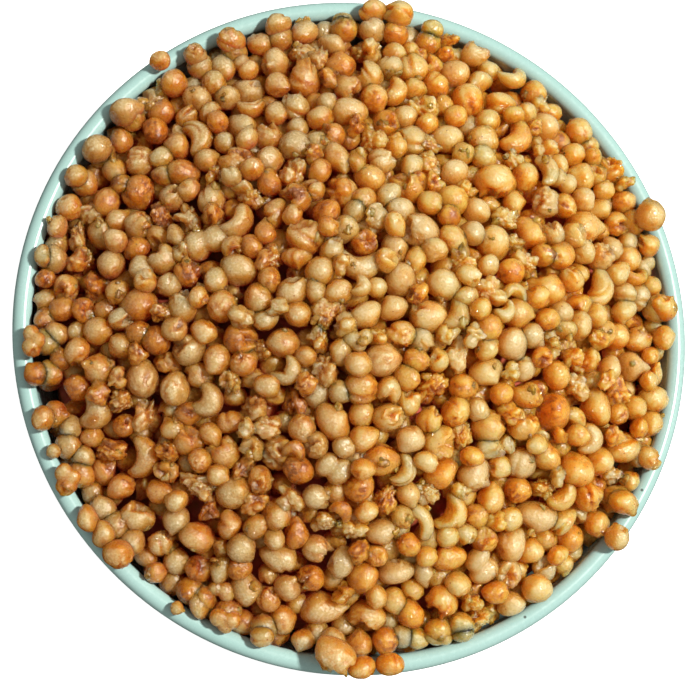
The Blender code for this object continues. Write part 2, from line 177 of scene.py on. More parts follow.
# The pieces along the rim and those that stand out in the heap: the pixel at their middle, their
# length and width in millimetres, the turn of their long axis in degrees, their kind and tone.
SHOWN_PIECES = (
    (663, 308, 6.5, 5.6, 0, "popped", "honey"), (650, 286, 4.6, 4.2, 0, "round", "golden"),
    (648, 245, 5.3, 4.9, 0, "popped", "honey"), (650, 215, 6.7, 6.3, 60, "popped", "grey"),
    (623, 203, 5.3, 4.9, 0, "round", "golden"), (611, 169, 5.8, 5.3, 0, "popped", "golden"),
    (588, 146, 4.9, 4.2, 0, "round", "golden"), (578, 131, 6.0, 5.1, 110, "round", "honey"),
    (533, 94, 6.0, 5.1, 90, "round", "honey"), (512, 79, 6.3, 5.6, 40, "crescent", "pale"),
    (489, 72, 5.3, 4.6, 0, "round", "golden"), (475, 54, 6.0, 5.3, 0, "popped", "grey"),
    (432, 30, 4.9, 4.4, 0, "round", "honey"), (398, 14, 6.5, 6.0, 20, "popped", "pale"),
    (374, 7, 6.3, 3.5, 5, "long", "honey"), (343, 22, 4.6, 4.2, 0, "round", "honey"),
    (303, 21, 3.5, 2.8, 30, "crusty", "rust"), (278, 22, 5.8, 4.6, 20, "long", "pale"),
    (231, 40, 6.0, 5.1, 0, "popped", "honey"), (195, 54, 4.9, 4.4, 0, "popped", "grey"),
    (160, 61, 4.4, 3.9, 0, "round", "honey"), (165, 84, 5.6, 3.2, 10, "crusty", "honey"),
    (126, 110, 7.4, 5.8, 15, "long", "grey"), (97, 149, 6.3, 5.8, 0, "round", "grey"),
    (76, 176, 5.1, 4.6, 0, "round", "honey"), (69, 208, 5.6, 5.3, 0, "round", "golden"),
    (57, 226, 4.9, 4.2, 60, "round", "grey"), (44, 256, 4.6, 4.2, 70, "round", "honey"),
    (45, 278, 4.4, 3.9, 0, "round", "dark"), (56, 335, 5.6, 4.9, 0, "round", "grey"),
    (34, 341, 6.5, 5.1, 90, "heart", "honey"), (37, 374, 5.1, 4.9, 0, "round", "dark"),
    (43, 418, 5.1, 4.6, 80, "round", "honey"), (54, 451, 3.2, 3.0, 0, "round", "grey"),
    (68, 479, 6.5, 5.6, 100, "heart", "honey"), (86, 519, 5.8, 4.2, 105, "long", "golden"),
    (104, 534, 5.6, 4.6, 80, "round", "honey"), (118, 554, 6.5, 5.8, 0, "round", "honey"),
    (156, 572, 4.6, 4.2, 0, "round", "dark"), (178, 608, 3.0, 2.8, 0, "round", "honey"),
    (199, 606, 5.8, 3.7, 110, "long", "honey"), (225, 621, 6.3, 5.3, 0, "heart", "golden"),
    (262, 636, 4.9, 4.4, 0, "round", "honey"), (303, 640, 4.9, 4.2, 0, "round", "honey"),
    (334, 656, 8.6, 4.6, 155, "popped", "pale"), (362, 667, 5.8, 4.6, 0, "round", "golden"),
    (390, 664, 5.8, 4.6, 0, "round", "honey"), (440, 638, 6.3, 3.5, 170, "long", "honey"),
    (463, 632, 4.9, 4.2, 0, "round", "honey"), (484, 620, 6.3, 3.9, 15, "crusty", "honey"),
    (511, 603, 6.0, 4.9, 30, "round", "grey"), (537, 588, 6.7, 6.0, 0, "round", "pale"),
    (562, 564, 4.9, 4.4, 0, "round", "golden"), (617, 537, 5.6, 5.1, 110, "popped", "grey"),
    (623, 502, 7.2, 4.9, 165, "round", "honey"), (630, 481, 4.4, 4.2, 0, "round", "golden"),
    (649, 458, 6.0, 4.6, 150, "popped", "grey"), (651, 423, 5.8, 5.1, 60, "round", "honey"),
    (652, 399, 7.2, 5.6, 0, "round", "honey"), (663, 338, 5.3, 4.4, 80, "round", "honey"),
    (367, 50, 6.5, 6.3, 0, "crusty", "yellow"), (348, 111, 8.4, 6.7, 0, "long", "pale"),
    (199, 137, 7.9, 5.6, 110, "crescent", "honey"), (237, 164, 7.7, 7.2, 0, "popped", "honey"),
    (241, 126, 7.7, 5.6, 130, "long", "pale"), (296, 147, 7.4, 6.7, 0, "round", "white"),
    (446, 139, 7.4, 6.3, 0, "round", "pale"), (547, 171, 7.0, 4.6, 100, "crescent", "pale"),
    (237, 223, 8.6, 5.8, 55, "crescent", "pale"), (305, 238, 7.7, 7.0, 160, "popped", "honey"),
    (411, 187, 8.1, 6.5, 15, "popped", "golden"), (496, 182, 8.8, 6.0, 15, "popped", "honey"),
    (584, 228, 8.4, 7.2, 0, "round", "golden"), (163, 260, 6.5, 6.3, 0, "popped", "pale"),
    (207, 243, 10.0, 6.5, 8, "twin", "pale"), (237, 269, 8.1, 6.3, 160, "long", "yellow"),
    (293, 291, 7.4, 5.6, 40, "long", "pale"), (360, 266, 8.8, 6.0, 0, "crescent", "pale"),
    (444, 285, 7.2, 6.3, 0, "round", "pale"), (492, 243, 7.9, 7.0, 0, "round", "pale"),
    (547, 289, 8.8, 7.0, 170, "long", "golden"), (358, 341, 6.3, 4.6, 5, "heart", "yellow"),
    (366, 315, 7.9, 5.1, 35, "long", "pale"), (428, 317, 7.7, 7.0, 0, "popped", "pale"),
    (457, 316, 7.2, 5.6, 60, "crescent", "honey"), (553, 345, 6.5, 5.1, 80, "crusty", "yellow"),
    (608, 336, 9.3, 6.3, 0, "twin", "golden"), (97, 412, 7.7, 6.7, 70, "crescent", "pale"),
    (209, 401, 7.2, 6.3, 60, "crescent", "grey"), (288, 372, 6.3, 5.1, 50, "crescent", "pale"),
    (382, 360, 7.9, 6.7, 20, "round", "grey"), (145, 458, 8.6, 6.3, 75, "crescent", "golden"),
    (488, 426, 7.2, 7.0, 0, "popped", "honey"), (622, 446, 8.8, 6.0, 8, "popped", "honey"),
    (137, 517, 7.9, 7.0, 10, "popped", "pale"), (316, 497, 5.6, 5.1, 0, "popped", "white"),
    (424, 522, 7.9, 2.6, 115, "crescent", "yellow"), (452, 514, 7.9, 6.0, 70, "crescent", "honey"),
    (537, 519, 9.7, 6.3, 170, "long", "grey"), (246, 588, 7.9, 6.3, 100, "long", "pale"),
    (278, 558, 7.9, 5.6, 160, "long", "pale"), (398, 573, 7.7, 4.6, 10, "long", "white"),
    (325, 609, 10.2, 6.3, 2, "long", "honey"), (367, 616, 8.1, 6.3, 175, "popped", "honey"),
)

# The balls that make up a joined piece: their middles and radii as shares of half the length.
JOINED = {
    "twin": ((-0.40, 0.0, 0.0, 0.66), (0.44, 0.0, 0.0, 0.58)),
    "heart": ((-0.40, 0.10, 0.0, 0.60), (0.42, 0.10, 0.0, 0.56), (0.0, -0.42, 0.0, 0.46)),
}

# How fried and how greyish a piece of each tone is, and the share of the scattered pieces that
# have the tone.
TONES = {
    "golden": (0.44, 0.00, 0.24),
    "honey": (0.36, 0.06, 0.22),
    "grey": (0.30, 0.70, 0.20),
    "pale": (0.18, 0.22, 0.14),
    "rust": (0.60, 0.00, 0.07),
    "dark": (0.62, 0.20, 0.07),
    "yellow": (0.06, 0.00, 0.02),
    "white": (0.04, 0.90, 0.04),
}


# ---- Settings ----


def metres(name, description, default):
    """A size in metres."""
    return FloatProperty(
        name=name, description=description, default=default, min=0.0, unit="LENGTH", precision=5
    )


def share(name, description, default):
    """A share between nothing and all."""
    return FloatProperty(
        name=name, description=description, default=default, min=0.0, max=1.0, subtype="FACTOR"
    )


def amount(name, description, default):
    """A number of pearls."""
    return IntProperty(name=name, description=description, default=default, min=1, max=600)


def strength(name, description, default):
    """The strength of a light."""
    return FloatProperty(name=name, description=description, default=default, min=0.0)


def angle(name, description, degrees):
    """An angle, kept in radians."""
    return FloatProperty(
        name=name, description=description, default=math.radians(degrees), subtype="ANGLE"
    )


def colour(name, description, default):
    """A linear colour."""
    return FloatVectorProperty(
        name=name, description=description, default=default, size=3, min=0.0, max=1.0, subtype="COLOR"
    )


class BowlSettings(bpy.types.PropertyGroup):
    """Size of the rim, and the glaze."""

    rim_thickness: metres("Rim Thickness", "Thickness of the rolled rim", 0.0044)
    glaze: colour("Glaze", "Colour of the glaze", (0.44, 0.68, 0.645))
    pooled: colour("Pooled Glaze", "Colour where the glaze lies thicker", (0.36, 0.60, 0.565))
    gloss: share("Glaze Roughness", "Roughness of the glaze", 0.22)


class HeapSettings(bpy.types.PropertyGroup):
    """Form of the heap and the number of pearls."""

    rise: metres("Rise", "Height of the heap's crown above the rim", 0.025)
    swell: metres("Swell", "Height of the slow swells in the heap's outline", 0.0032)
    core_depth: metres("Core Depth", "Depth of the core below the heap's outline", 0.0105)
    largest: metres("Largest Pearl", "Diameter of the largest scattered pearl", 0.0080)
    smallest: metres("Smallest Shown Pearl", "Diameter of the smallest pearl of the even spread", 0.0048)
    pearls: amount("Pearls", "Pearls in the even spread", 350)
    edge_pearls: amount("Edge Pearls", "Pearls tried in the pockets along the rim", 90)
    pocket_pearls: amount("Pocket Pearls", "Pearls tried in the other pockets", 300)
    lower_pearls: amount("Lower Pearls", "Pearls seen through the gaps", 430)
    crumbs: amount("Crumbs", "Bits of crust that stick to the pearls", 200)
    seed: IntProperty(name="Seed", description="Start of the random draws", default=29, min=0)


class GrainSettings(bpy.types.PropertyGroup):
    """Colours and surface of the fried pearls."""

    cream: colour("Cream", "The palest fried surface", (0.90, 0.58, 0.21))
    honey: colour("Honey", "A lightly fried surface", (0.92, 0.485, 0.095))
    golden: colour("Golden", "A well fried surface", (0.90, 0.36, 0.036))
    rust: colour("Rust", "Lips, edges and spiced patches", (0.74, 0.245, 0.018))
    burnt: colour("Burnt", "The darkest fried bits", (0.34, 0.085, 0.010))
    greyish: colour("Greyish", "Clear, greyish grain", (0.70, 0.46, 0.20))
    # Pale top of a pearl: partly a dry, frosted surface, partly a painted highlight where it faces the
    # light.
    frost_and_painted_highlight: colour("Frost", "The dry, pale top of a pearl", (0.83, 0.575, 0.35))
    # Painted shade: a darker tint over the pale tops on the left of the heap.
    painted_left_top_shade: colour("Veil", "Tint of the dry tops on the left of the heap", (0.93, 0.97, 0.88))
    rim_shade: colour("Rim Shade", "Tint of a pearl's sides, which are darker", (0.77, 0.54, 0.22))
    # Painted shade: darkens the pearls on the left of the heap, whose slope faces away from the key
    # light.
    painted_left_shade: colour("Dull Side", "Tint of the duller pearls on the left", (0.66, 0.54, 0.40))
    # Red-brown in the crevices between pieces and deeper in the heap: partly oil, partly painted shade.
    oil_and_painted_shade: colour("Oily", "Crevices where oil has gathered", (0.72, 0.29, 0.035))
    # Painted shade and red bounce light deep in the gaps, and its darker kind for the left of the heap.
    deep: colour("Deep", "Oily reddish brown deep in the gaps", (1.0, 0.26, 0.08))
    painted_left_gap_shade: colour("Gloom", "Darker brown deep in the gaps on the left", (0.55, 0.080, 0.026))
    # Painted shade: the dark red-brown of the core that shows deep in the gaps.
    core: colour("Core", "The dark ground deep in the gaps", (0.60, 0.085, 0.040))
    roughness: share("Roughness", "Roughness of the waxy surface", 0.28)
    glow: share("Glow", "Share of light that passes under the surface", 1.0)
    grit: metres("Grit Spacing", "Distance between the grains of the crust", 0.00045)


class StageSettings(bpy.types.PropertyGroup):
    """Floor, light and camera."""

    floor: colour("Floor", "Colour of the floor", (0.92, 0.92, 0.92))
    floor_glow: strength("Floor Glow", "Strength of the floor's own light", 0.80)
    sun: strength("Key Light", "Strength of the key light", 3.62)
    sun_colour: colour("Key Colour", "Colour of the key light", (1.0, 0.965, 0.90))
    sun_side: angle("Key Side", "Side that the key light comes from", 12.0)
    sun_height: angle("Key Height", "Elevation of the key light", 61.0)
    sun_softness: angle("Key Softness", "Angle that the key light spans", 6.0)
    fill: strength("Fill Light", "Strength of the even fill", 0.37)
    fill_colour: colour("Fill Colour", "Colour of the even fill", (1.0, 0.97, 0.93))
    camera_distance: metres("Camera Distance", "From the camera to the rim's level", 0.65)
    camera_focus: FloatProperty(
        name="Focal Length", description="Focal length in pixels of the photograph", default=2768.0
    )


SETTINGS = (
    ("bowl_look", BowlSettings),
    ("heap_look", HeapSettings),
    ("grain_look", GrainSettings),
    ("stage_look", StageSettings),
)


# ---- Meshes ----


def smooth_mesh(name, points, faces, places=None, tones=None):
    """A smooth triangle mesh, with its own texture places and tones if they are given."""
    mesh = bpy.data.meshes.new(name)
    mesh.from_pydata(points, [], faces, shade_flat=False)
    if places is not None:
        layer = mesh.uv_layers.new(name="OFBake")
        layer.data.foreach_set("uv", np.asarray(places, np.float32).ravel())
    if tones is not None:
        attribute = mesh.attributes.new("tones", "FLOAT_COLOR", "POINT")
        attribute.data.foreach_set("color", np.asarray(tones, np.float32).ravel())
    mesh.validate()
    return mesh


def add_piece(name, mesh, material, slot, *nodes):
    """A piece of the object: it rides on the root body and stands for the nodes named."""
    piece = bpy.data.objects.new(name, mesh)
    bpy.context.scene.collection.objects.link(piece)
    mesh.materials.append(material)
    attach(piece, "root")
    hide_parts(*nodes)


def eight_sided_ball(cuts):
    """A ball from an octahedron: directions, triangles, and each corner's place on a square."""
    index = {}
    points = []
    faces = []
    places = []
    for sx, sy, sz in product((1, -1), repeat=3):
        def corner(i, j):
            key = (sx * i, sy * j, sz * (cuts - i - j))
            if key not in index:
                index[key] = len(points)
                points.append([math.sin(math.pi / 2 * a / cuts) for a in key])
            x, y = sx * i / cuts, sy * j / cuts
            if sz < 0:
                x, y = sx * (1 - abs(y)), sy * (1 - abs(x))
            return index[key], ((x + 1) / 2, (y + 1) / 2)

        for i in range(cuts):
            for j in range(cuts - i):
                trios = [[corner(i, j), corner(i + 1, j), corner(i, j + 1)]]
                if i + j < cuts - 1:
                    trios.append([corner(i + 1, j), corner(i + 1, j + 1), corner(i, j + 1)])
                for trio in trios:
                    trio = trio if sx * sy * sz > 0 else trio[::-1]
                    faces.append([vertex for vertex, _ in trio])
                    places.append([place for _, place in trio])
    points = np.array(points)
    points /= np.linalg.norm(points, axis=1, keepdims=True)
    return points, np.array(faces), np.array(places)


def circle(radius, height, turns):
    """Points in a circle round the vertical axis, or the one point on the axis."""
    if radius == 0.0:
        return [(0.0, 0.0, height)]
    steps = [math.tau * k / turns for k in range(turns)]
    return [(radius * math.cos(turn), radius * math.sin(turn), height) for turn in steps]


def mesh_from_rings(name, rings, closed=False):
    """A mesh over rings of points, which run up its outside, or if closed down it and back."""
    points = [point for ring in rings for point in ring]
    rows = []
    for ring in rings:
        start = rows[-1].stop if rows else 0
        rows.append(range(start, start + len(ring)))
    if closed:
        rows.append(rows[0])
    faces = []
    for first, second in zip(rows, rows[1:]):
        for k in range(max(len(first), len(second))):
            a, b = first[k % len(first)], first[(k + 1) % len(first)]
            c, d = second[k % len(second)], second[(k + 1) % len(second)]
            if len(first) > 1:
                faces.append((a, b, c))
            if len(second) > 1:
                faces.append((b, d, c))
    if closed:
        faces = [face[::-1] for face in faces]
    return smooth_mesh(name, points, faces)


# ---- The bowl ----


def wall_curve(inner_radius, outer_radius, low, high, steps):
    """Points up a flared wall, from its flat floor to just under the rim."""
    points = []
    for i in range(steps + 1):
        turn = FLARE * i / steps
        along = math.sin(turn) / math.sin(FLARE)
        up = (1.0 - math.cos(turn)) / (1.0 - math.cos(FLARE))
        points.append((inner_radius + (outer_radius - inner_radius) * along, low + (high - low) * up))
    return points


def rim_roll():
    """Radius of the rolled rim's section."""
    return bpy.context.scene.bowl_look.rim_thickness / 2


def wall_top():
    """The level at which the flared wall meets the rolled rim."""
    return RIM_LEVEL - WALL_SHARE * 2.0 * rim_roll()


def inner_wall(steps):
    """The inside of the bowl's wall, upwards from the floor."""
    mouth = RIM_RADIUS - 2.0 * rim_roll() + MOUTH_INSET
    return wall_curve(FLOOR_RADIUS, mouth, FLOOR_LEVEL, wall_top(), steps)


def wall_radius(height):
    """Radius of the bowl's inner wall at a height, without the rim."""
    wall = inner_wall(INNER_POINTS)
    for (low_r, low_z), (high_r, high_z) in zip(wall, wall[1:]):
        if height <= high_z:
            return low_r + (high_r - low_r) * max(height - low_z, 0.0) / (high_z - low_z)
    return wall[-1][0]


def bowl_section():
    """The bowl's section: down its outer side, under the foot, and up its inner side."""
    roll = rim_roll()
    outer = wall_curve(FOOT_RADIUS, RIM_RADIUS - LIP, FOOT_HEIGHT, wall_top(), WALL_STEPS)
    foot_inner = FOOT_RADIUS - FOOT_WIDTH
    foot = [
        (FOOT_RADIUS, FOOT_CHAMFER), (FOOT_RADIUS - FOOT_CHAMFER, 0.0),
        (foot_inner + FOOT_CHAMFER, 0.0), (foot_inner, FOOT_CHAMFER),
        (foot_inner - FOOT_CHAMFER, RECESS_DEPTH), (0.0, RECESS_DEPTH),
    ]
    rim = []
    for i in range(ROLL_STEPS + 1):
        turn = math.pi * (1.0 - i / ROLL_STEPS)
        rim.append((RIM_RADIUS - roll + roll * math.cos(turn), RIM_LEVEL - roll + roll * math.sin(turn)))
    return outer[::-1] + foot + [(0.0, FLOOR_LEVEL)] + inner_wall(WALL_STEPS) + rim


# ---- The heap's outline and the places of its pearls ----


class Pearl:
    """One piece of the heap. If no height is given, its top lies in the heap's outline."""

    def __init__(self, x, y, length, width, turn, kind, lift=0.0, tone=None, z=None, layer="shown"):
        self.x = x
        self.y = y
        self.z = rest_height(x, y, length / 2, width / 2, lift) if z is None else z
        self.length = length
        self.width = width
        self.turn = turn
        self.kind = kind
        self.tone = tone
        self.layer = layer

    @property
    def radius(self):
        """Radius of the ball that stands for the piece where it touches others."""
        return (self.length + self.width) / 4


def outline_height(x, y):
    """Height of the heap's uneven outline above the point x, y."""
    heap = bpy.context.scene.heap_look
    offset = math.hypot(x - HEAP_SHIFT.x, y - HEAP_SHIFT.y) / HEAP_REACH
    dome = heap.rise * (1.0 - min(offset, SKIRT) ** HEAP_POWER)
    swell = noise.noise(Vector((x, y, 0.0)) / SWELL_LENGTH + SWELL_START)
    return RIM_LEVEL + dome + heap.swell * swell


def heap_slope(x, y):
    """The direction in which the heap's outline faces at x, y."""
    rise_x = outline_height(x + SLOPE_STEP, y) - outline_height(x - SLOPE_STEP, y)
    rise_y = outline_height(x, y + SLOPE_STEP) - outline_height(x, y - SLOPE_STEP)
    return Vector((-rise_x, -rise_y, 2.0 * SLOPE_STEP)).normalized()


def edge_limit(radius):
    """How far out the middle of a pearl may lie and stay clear of the bowl."""
    return RIM_RADIUS - 2.0 * rim_roll() - EDGE_CLEARANCE - radius


def rim_clearance(x, y, half_length):
    """The lowest level of a piece's middle at which it clears the rolled rim."""
    roll = rim_roll()
    sideways = math.hypot(x, y) - (RIM_RADIUS - roll)
    clear = roll + EDGE_CLEARANCE + half_length
    if abs(sideways) >= clear:
        return 0.0
    return RIM_LEVEL - roll + math.sqrt(clear * clear - sideways * sideways)


def rest_height(x, y, half_length, half_width, lift):
    """Height of a piece's middle: its top reaches the outline, and it stays clear of the rim."""
    return max(outline_height(x, y) - half_width + lift, rim_clearance(x, y, half_length))


def view_axes():
    """Right, up and back of the camera."""
    back = Vector((math.cos(VIEW_SIDE), math.sin(VIEW_SIDE), 0.0)) * math.sin(VIEW_TILT)
    back.z = math.cos(VIEW_TILT)
    right = Vector((0.0, 1.0, 0.0)).cross(back).normalized()
    return right, back.cross(right), back


def view_aim():
    """The point that the camera looks at."""
    return Vector((*VIEW_SHIFT, RIM_LEVEL - rim_roll()))


def place_at(pixel_x, pixel_y, height):
    """Where the photograph's line of sight through a pixel passes this height."""
    stage = bpy.context.scene.stage_look
    right, up, back = view_axes()
    across = (pixel_x - PHOTO_MIDDLE[0]) / stage.camera_focus
    down = (pixel_y - PHOTO_MIDDLE[1]) / stage.camera_focus
    sight = right * across - up * down - back
    camera = view_aim() + back * stage.camera_distance
    return camera + sight * ((height - camera.z) / sight.z)


def seen_place(pixel_x, pixel_y, half_length, half_width):
    """Where a piece rests that the photograph shows in the line of sight through a pixel."""
    height = RIM_LEVEL
    for _ in range(SIGHT_STEPS):
        place = place_at(pixel_x, pixel_y, height)
        height = (height + rest_height(place.x, place.y, half_length, half_width, 0.0)) / 2
    return place.x, place.y


def shown_pearls():
    """The pieces that stand out. One that the core doesn't reach leans on a pearl just inside it."""
    shoulder = wall_radius(RIM_LEVEL - EDGE_DEPTH) - GAP - SHOULDER_INSET
    inside = edge_limit(LEANING / 2)
    placed = []
    for pixel_x, pixel_y, length, width, turn, kind, tone in SHOWN_PIECES:
        x, y = seen_place(pixel_x, pixel_y, length / 2 * MM, width / 2 * MM)
        pearl = Pearl(x, y, length * MM, width * MM, math.radians(turn), kind, tone=tone)
        placed.append(pearl)
        reach = math.hypot(x, y)
        above = pearl.z - (RIM_LEVEL - SHOULDER_DEPTH)
        if reach > shoulder and math.hypot(reach - shoulder, above) > pearl.width / 2 - GAP:
            inward = inside / reach
            placed.append(Pearl(x * inward, y * inward, LEANING, LEANING, 0.0, "round", LEANING_LIFT))
    return placed


def pick(shares, draw, rest):
    """One of some names, each as often as its share says, or else the rest."""
    for name, part in shares:
        if draw < part:
            return name
        draw -= part
    return rest


def roomiest_place(placed, size, draw):
    """The best of some tries at a place for a pearl: the one with the most room round it."""
    best = None
    best_room = 0.0
    for _ in range(PEARL_TRIES):
        reach = edge_limit(size / 2) * math.sqrt(draw.random())
        turn = draw.uniform(0.0, math.tau)
        x, y = reach * math.cos(turn), reach * math.sin(turn)
        room = min(math.hypot(x - p.x, y - p.y) - (p.length + size) / 2 for p in placed)
        if best is None or room > best_room:
            best = (x, y)
            best_room = room
    return best


def spread_pearls():
    """The pearls that show: those that stand out, and an even spread of others, largest first."""
    heap = bpy.context.scene.heap_look
    draw = random.Random(heap.seed)
    placed = shown_pearls()
    for i in range(heap.pearls):
        fall = 1.0 - (i / (heap.pearls - 1)) ** SIZE_FALL
        size = heap.smallest + (heap.largest - heap.smallest) * fall
        x, y = roomiest_place(placed, size, draw)
        kind = pick(KIND_SHARES, draw.random(), "round")
        slim = draw.uniform(*(SLIM_ROUND if kind in ("round", "popped") else SLIM_PIECE))
        smaller = SMALLER_AT_LEFT * max(-x, 0.0) / RIM_RADIUS
        length = size * (1.0 - smaller) / math.sqrt(slim)
        lift = draw.uniform(-UNEVEN, UNEVEN)
        placed.append(Pearl(x, y, length, length * slim, draw.uniform(0.0, math.pi), kind, lift))
    return placed


class Crowd:
    """Balls that are already in place, for finding the pockets between them."""

    def __init__(self, pearls):
        self.balls = np.array([(p.x, p.y, p.z, p.radius) for p in pearls])

    def add(self, pearl):
        """One more ball."""
        self.balls = np.vstack((self.balls, (pearl.x, pearl.y, pearl.z, pearl.radius)))

    def near(self, x, y, reach):
        """The balls within reach, seen from above."""
        offset = self.balls[:, :2] - (x, y)
        return self.balls[(offset ** 2).sum(1) < reach * reach]


def touching(near, x, y, radius, side):
    """Height of a ball's middle where it meets the others, from above (side 1) or below (-1)."""
    room = (near[:, 3] + radius) ** 2 - (near[:, 0] - x) ** 2 - (near[:, 1] - y) ** 2
    met = room > 0.0
    if not met.any():
        return None
    heights = near[met, 2] + side * np.sqrt(room[met])
    return float(heights.max() if side > 0 else heights.min())


def settle(near, x, y, radius, side):
    """A ball's depth against the outline where it comes to rest here, and its height."""
    surface = outline_height(x, y)
    height = touching(near, x, y, radius, side)
    if side > 0:
        ground = surface - bpy.context.scene.heap_look.core_depth + radius
        ground = max(ground, rim_clearance(x, y, radius))
        height = ground if height is None else max(height, ground)
    else:
        highest = surface - LOWER_DEPTH
        height = highest if height is None else min(height, highest)
    return side * (height - surface), height


def roll_to_rest(crowd, x, y, radius, side, limits):
    """Roll a ball from x, y into the nearest pocket: its place, height and depth there."""
    near = crowd.near(x, y, ROLL_RADII * radius + ROLL_REACH)
    best, height = settle(near, x, y, radius, side)
    step = ROLL_STEP
    while step > ROLL_STEP / 8:
        moved = False
        for k in range(ROLL_TURNS):
            turn = math.tau * (k + 0.3) / ROLL_TURNS
            next_x = x + step * math.cos(turn)
            next_y = y + step * math.sin(turn)
            if not limits[0] <= math.hypot(next_x, next_y) <= limits[1]:
                continue
            depth, level = settle(near, next_x, next_y, radius, side)
            if depth < best - 0.01 * MM:
                best, height, x, y = depth, level, next_x, next_y
                moved = True
                break
        if not moved:
            step /= 2
    return x, y, height, best


def proudest(layer, x, y):
    """How high a filling pearl may stand. Low ones leave the edge its open gaps."""
    toward = max(GAP_SIDE.dot((x, y)) / RIM_RADIUS, 0.0) if math.hypot(x, y) > GAP_START else 0.0
    return PROUDEST[layer] - GAP_SINK * toward


def fill_pockets(crowd, layer, count, limits, draw):
    """Pearls of a layer, each in the deepest of some pockets. The lower ones come from below."""
    side = -1 if layer == "lower" else 1
    added = []
    for _ in range(count):
        radius = draw.uniform(*FILL_SIZES[layer]) / 2
        best = None
        for _ in range(FILL_TRIES[layer]):
            reach = math.sqrt(draw.uniform(limits[0] ** 2, limits[1] ** 2))
            turn = draw.uniform(0.0, math.tau)
            x, y = reach * math.cos(turn), reach * math.sin(turn)
            spot = roll_to_rest(crowd, x, y, radius, side, limits)
            if best is None or spot[3] < best[3]:
                best = spot
        x, y, height, depth = best
        if side > 0 and depth + radius > proudest(layer, x, y):
            continue
        chance = draw.random() - CRUST_SIDE * x / RIM_RADIUS
        kind = pick(POCKET_SHARES if side > 0 else KIND_SHARES, chance, "round")
        slim = draw.uniform(*SLIM_ROUND)
        length = radius * 4.0 / (1.0 + slim)
        turn = draw.uniform(0.0, math.pi)
        pearl = Pearl(x, y, length, length * slim, turn, kind, z=height, layer=layer)
        crowd.add(pearl)
        added.append(pearl)
    return added


def crumbs_on(pearls, count, draw):
    """Small bits of crust that stick to the upper sides of the larger pieces."""
    crumbs = []
    for _ in range(count):
        host = draw.choice(pearls)
        size = draw.uniform(*CRUMB_SIZES)
        x, y, z = upward_direction(draw, CRUMB_LEAN) * CRUMB_SINK * host.radius + (host.x, host.y, host.z)
        turn = draw.uniform(0.0, math.pi)
        crumbs.append(Pearl(x, y, size, 0.8 * size, turn, "crusty", z=z, layer="crumb"))
    return crumbs


PLAN = []


def heap_plan():
    """Every pearl of the heap, worked out once."""
    if not PLAN:
        heap = bpy.context.scene.heap_look
        draw = random.Random(heap.seed + FILL_SEED)
        shown = spread_pearls()
        crowd = Crowd(shown)
        everywhere = (0.0, edge_limit(FILL_INSET))
        PLAN.extend(shown)
        PLAN.extend(fill_pockets(crowd, "lower", heap.lower_pearls, everywhere, draw))
        PLAN.extend(fill_pockets(crowd, "edge", heap.edge_pearls, EDGE_RING, draw))
        PLAN.extend(fill_pockets(crowd, "pocket", heap.pocket_pearls, everywhere, draw))
        inner = [pearl for pearl in shown if math.hypot(pearl.x, pearl.y) < CRUMB_REACH]
        PLAN.extend(crumbs_on(inner, heap.crumbs, draw))
    return PLAN


def pearls_of(layer, *kinds):
    """The pearls of a layer, and of some kinds if any are given."""
    chosen = [pearl for pearl in heap_plan() if pearl.layer == layer]
    return [pearl for pearl in chosen if not kinds or pearl.kind in kinds]


def core_rings():
    """Rings of the core: up inside the bowl's wall, then in over its top."""
    depth = bpy.context.scene.heap_look.core_depth
    level = RIM_LEVEL - depth - CORE_DENT
    wall = [(r - 2 * GAP, z + 2 * GAP) for r, z in inner_wall(CORE_WALL_STEPS) if z < level]
    rings = [circle(r, z, CORE_TURNS) for r, z in [(0.0, FLOOR_LEVEL + 2 * GAP)] + wall]
    edge, lowest = wall[-1]
    for i in range(CORE_RINGS + 1):
        ring = []
        for x, y, _ in circle(edge * (1.0 - i / CORE_RINGS), 0.0, CORE_TURNS):
            cell = noise.voronoi(Vector((x, y, 0.0)) / CORE_CELL)[0][0]
            z = outline_height(x, y) - depth - CORE_DENT * cell
            ring.append((x, y, max(z, lowest + 0.5 * MM)))
        rings.append(ring)
    return rings


# ---- Shapes of the pearls ----


def random_direction(draw):
    """A direction, evenly drawn."""
    z = draw.uniform(-1.0, 1.0)
    turn = draw.uniform(0.0, math.tau)
    flat = math.sqrt(1.0 - z * z)
    return np.array((flat * math.cos(turn), flat * math.sin(turn), z))


def upward_direction(draw, spread):
    """A direction near straight up out of the heap."""
    turn = draw.uniform(0.0, math.tau)
    lean = spread * math.sqrt(draw.random())
    return np.array((math.sin(lean) * math.cos(turn), math.sin(lean) * math.sin(turn), math.cos(lean)))


def unit(vector):
    """A vector's direction."""
    return vector / np.linalg.norm(vector)


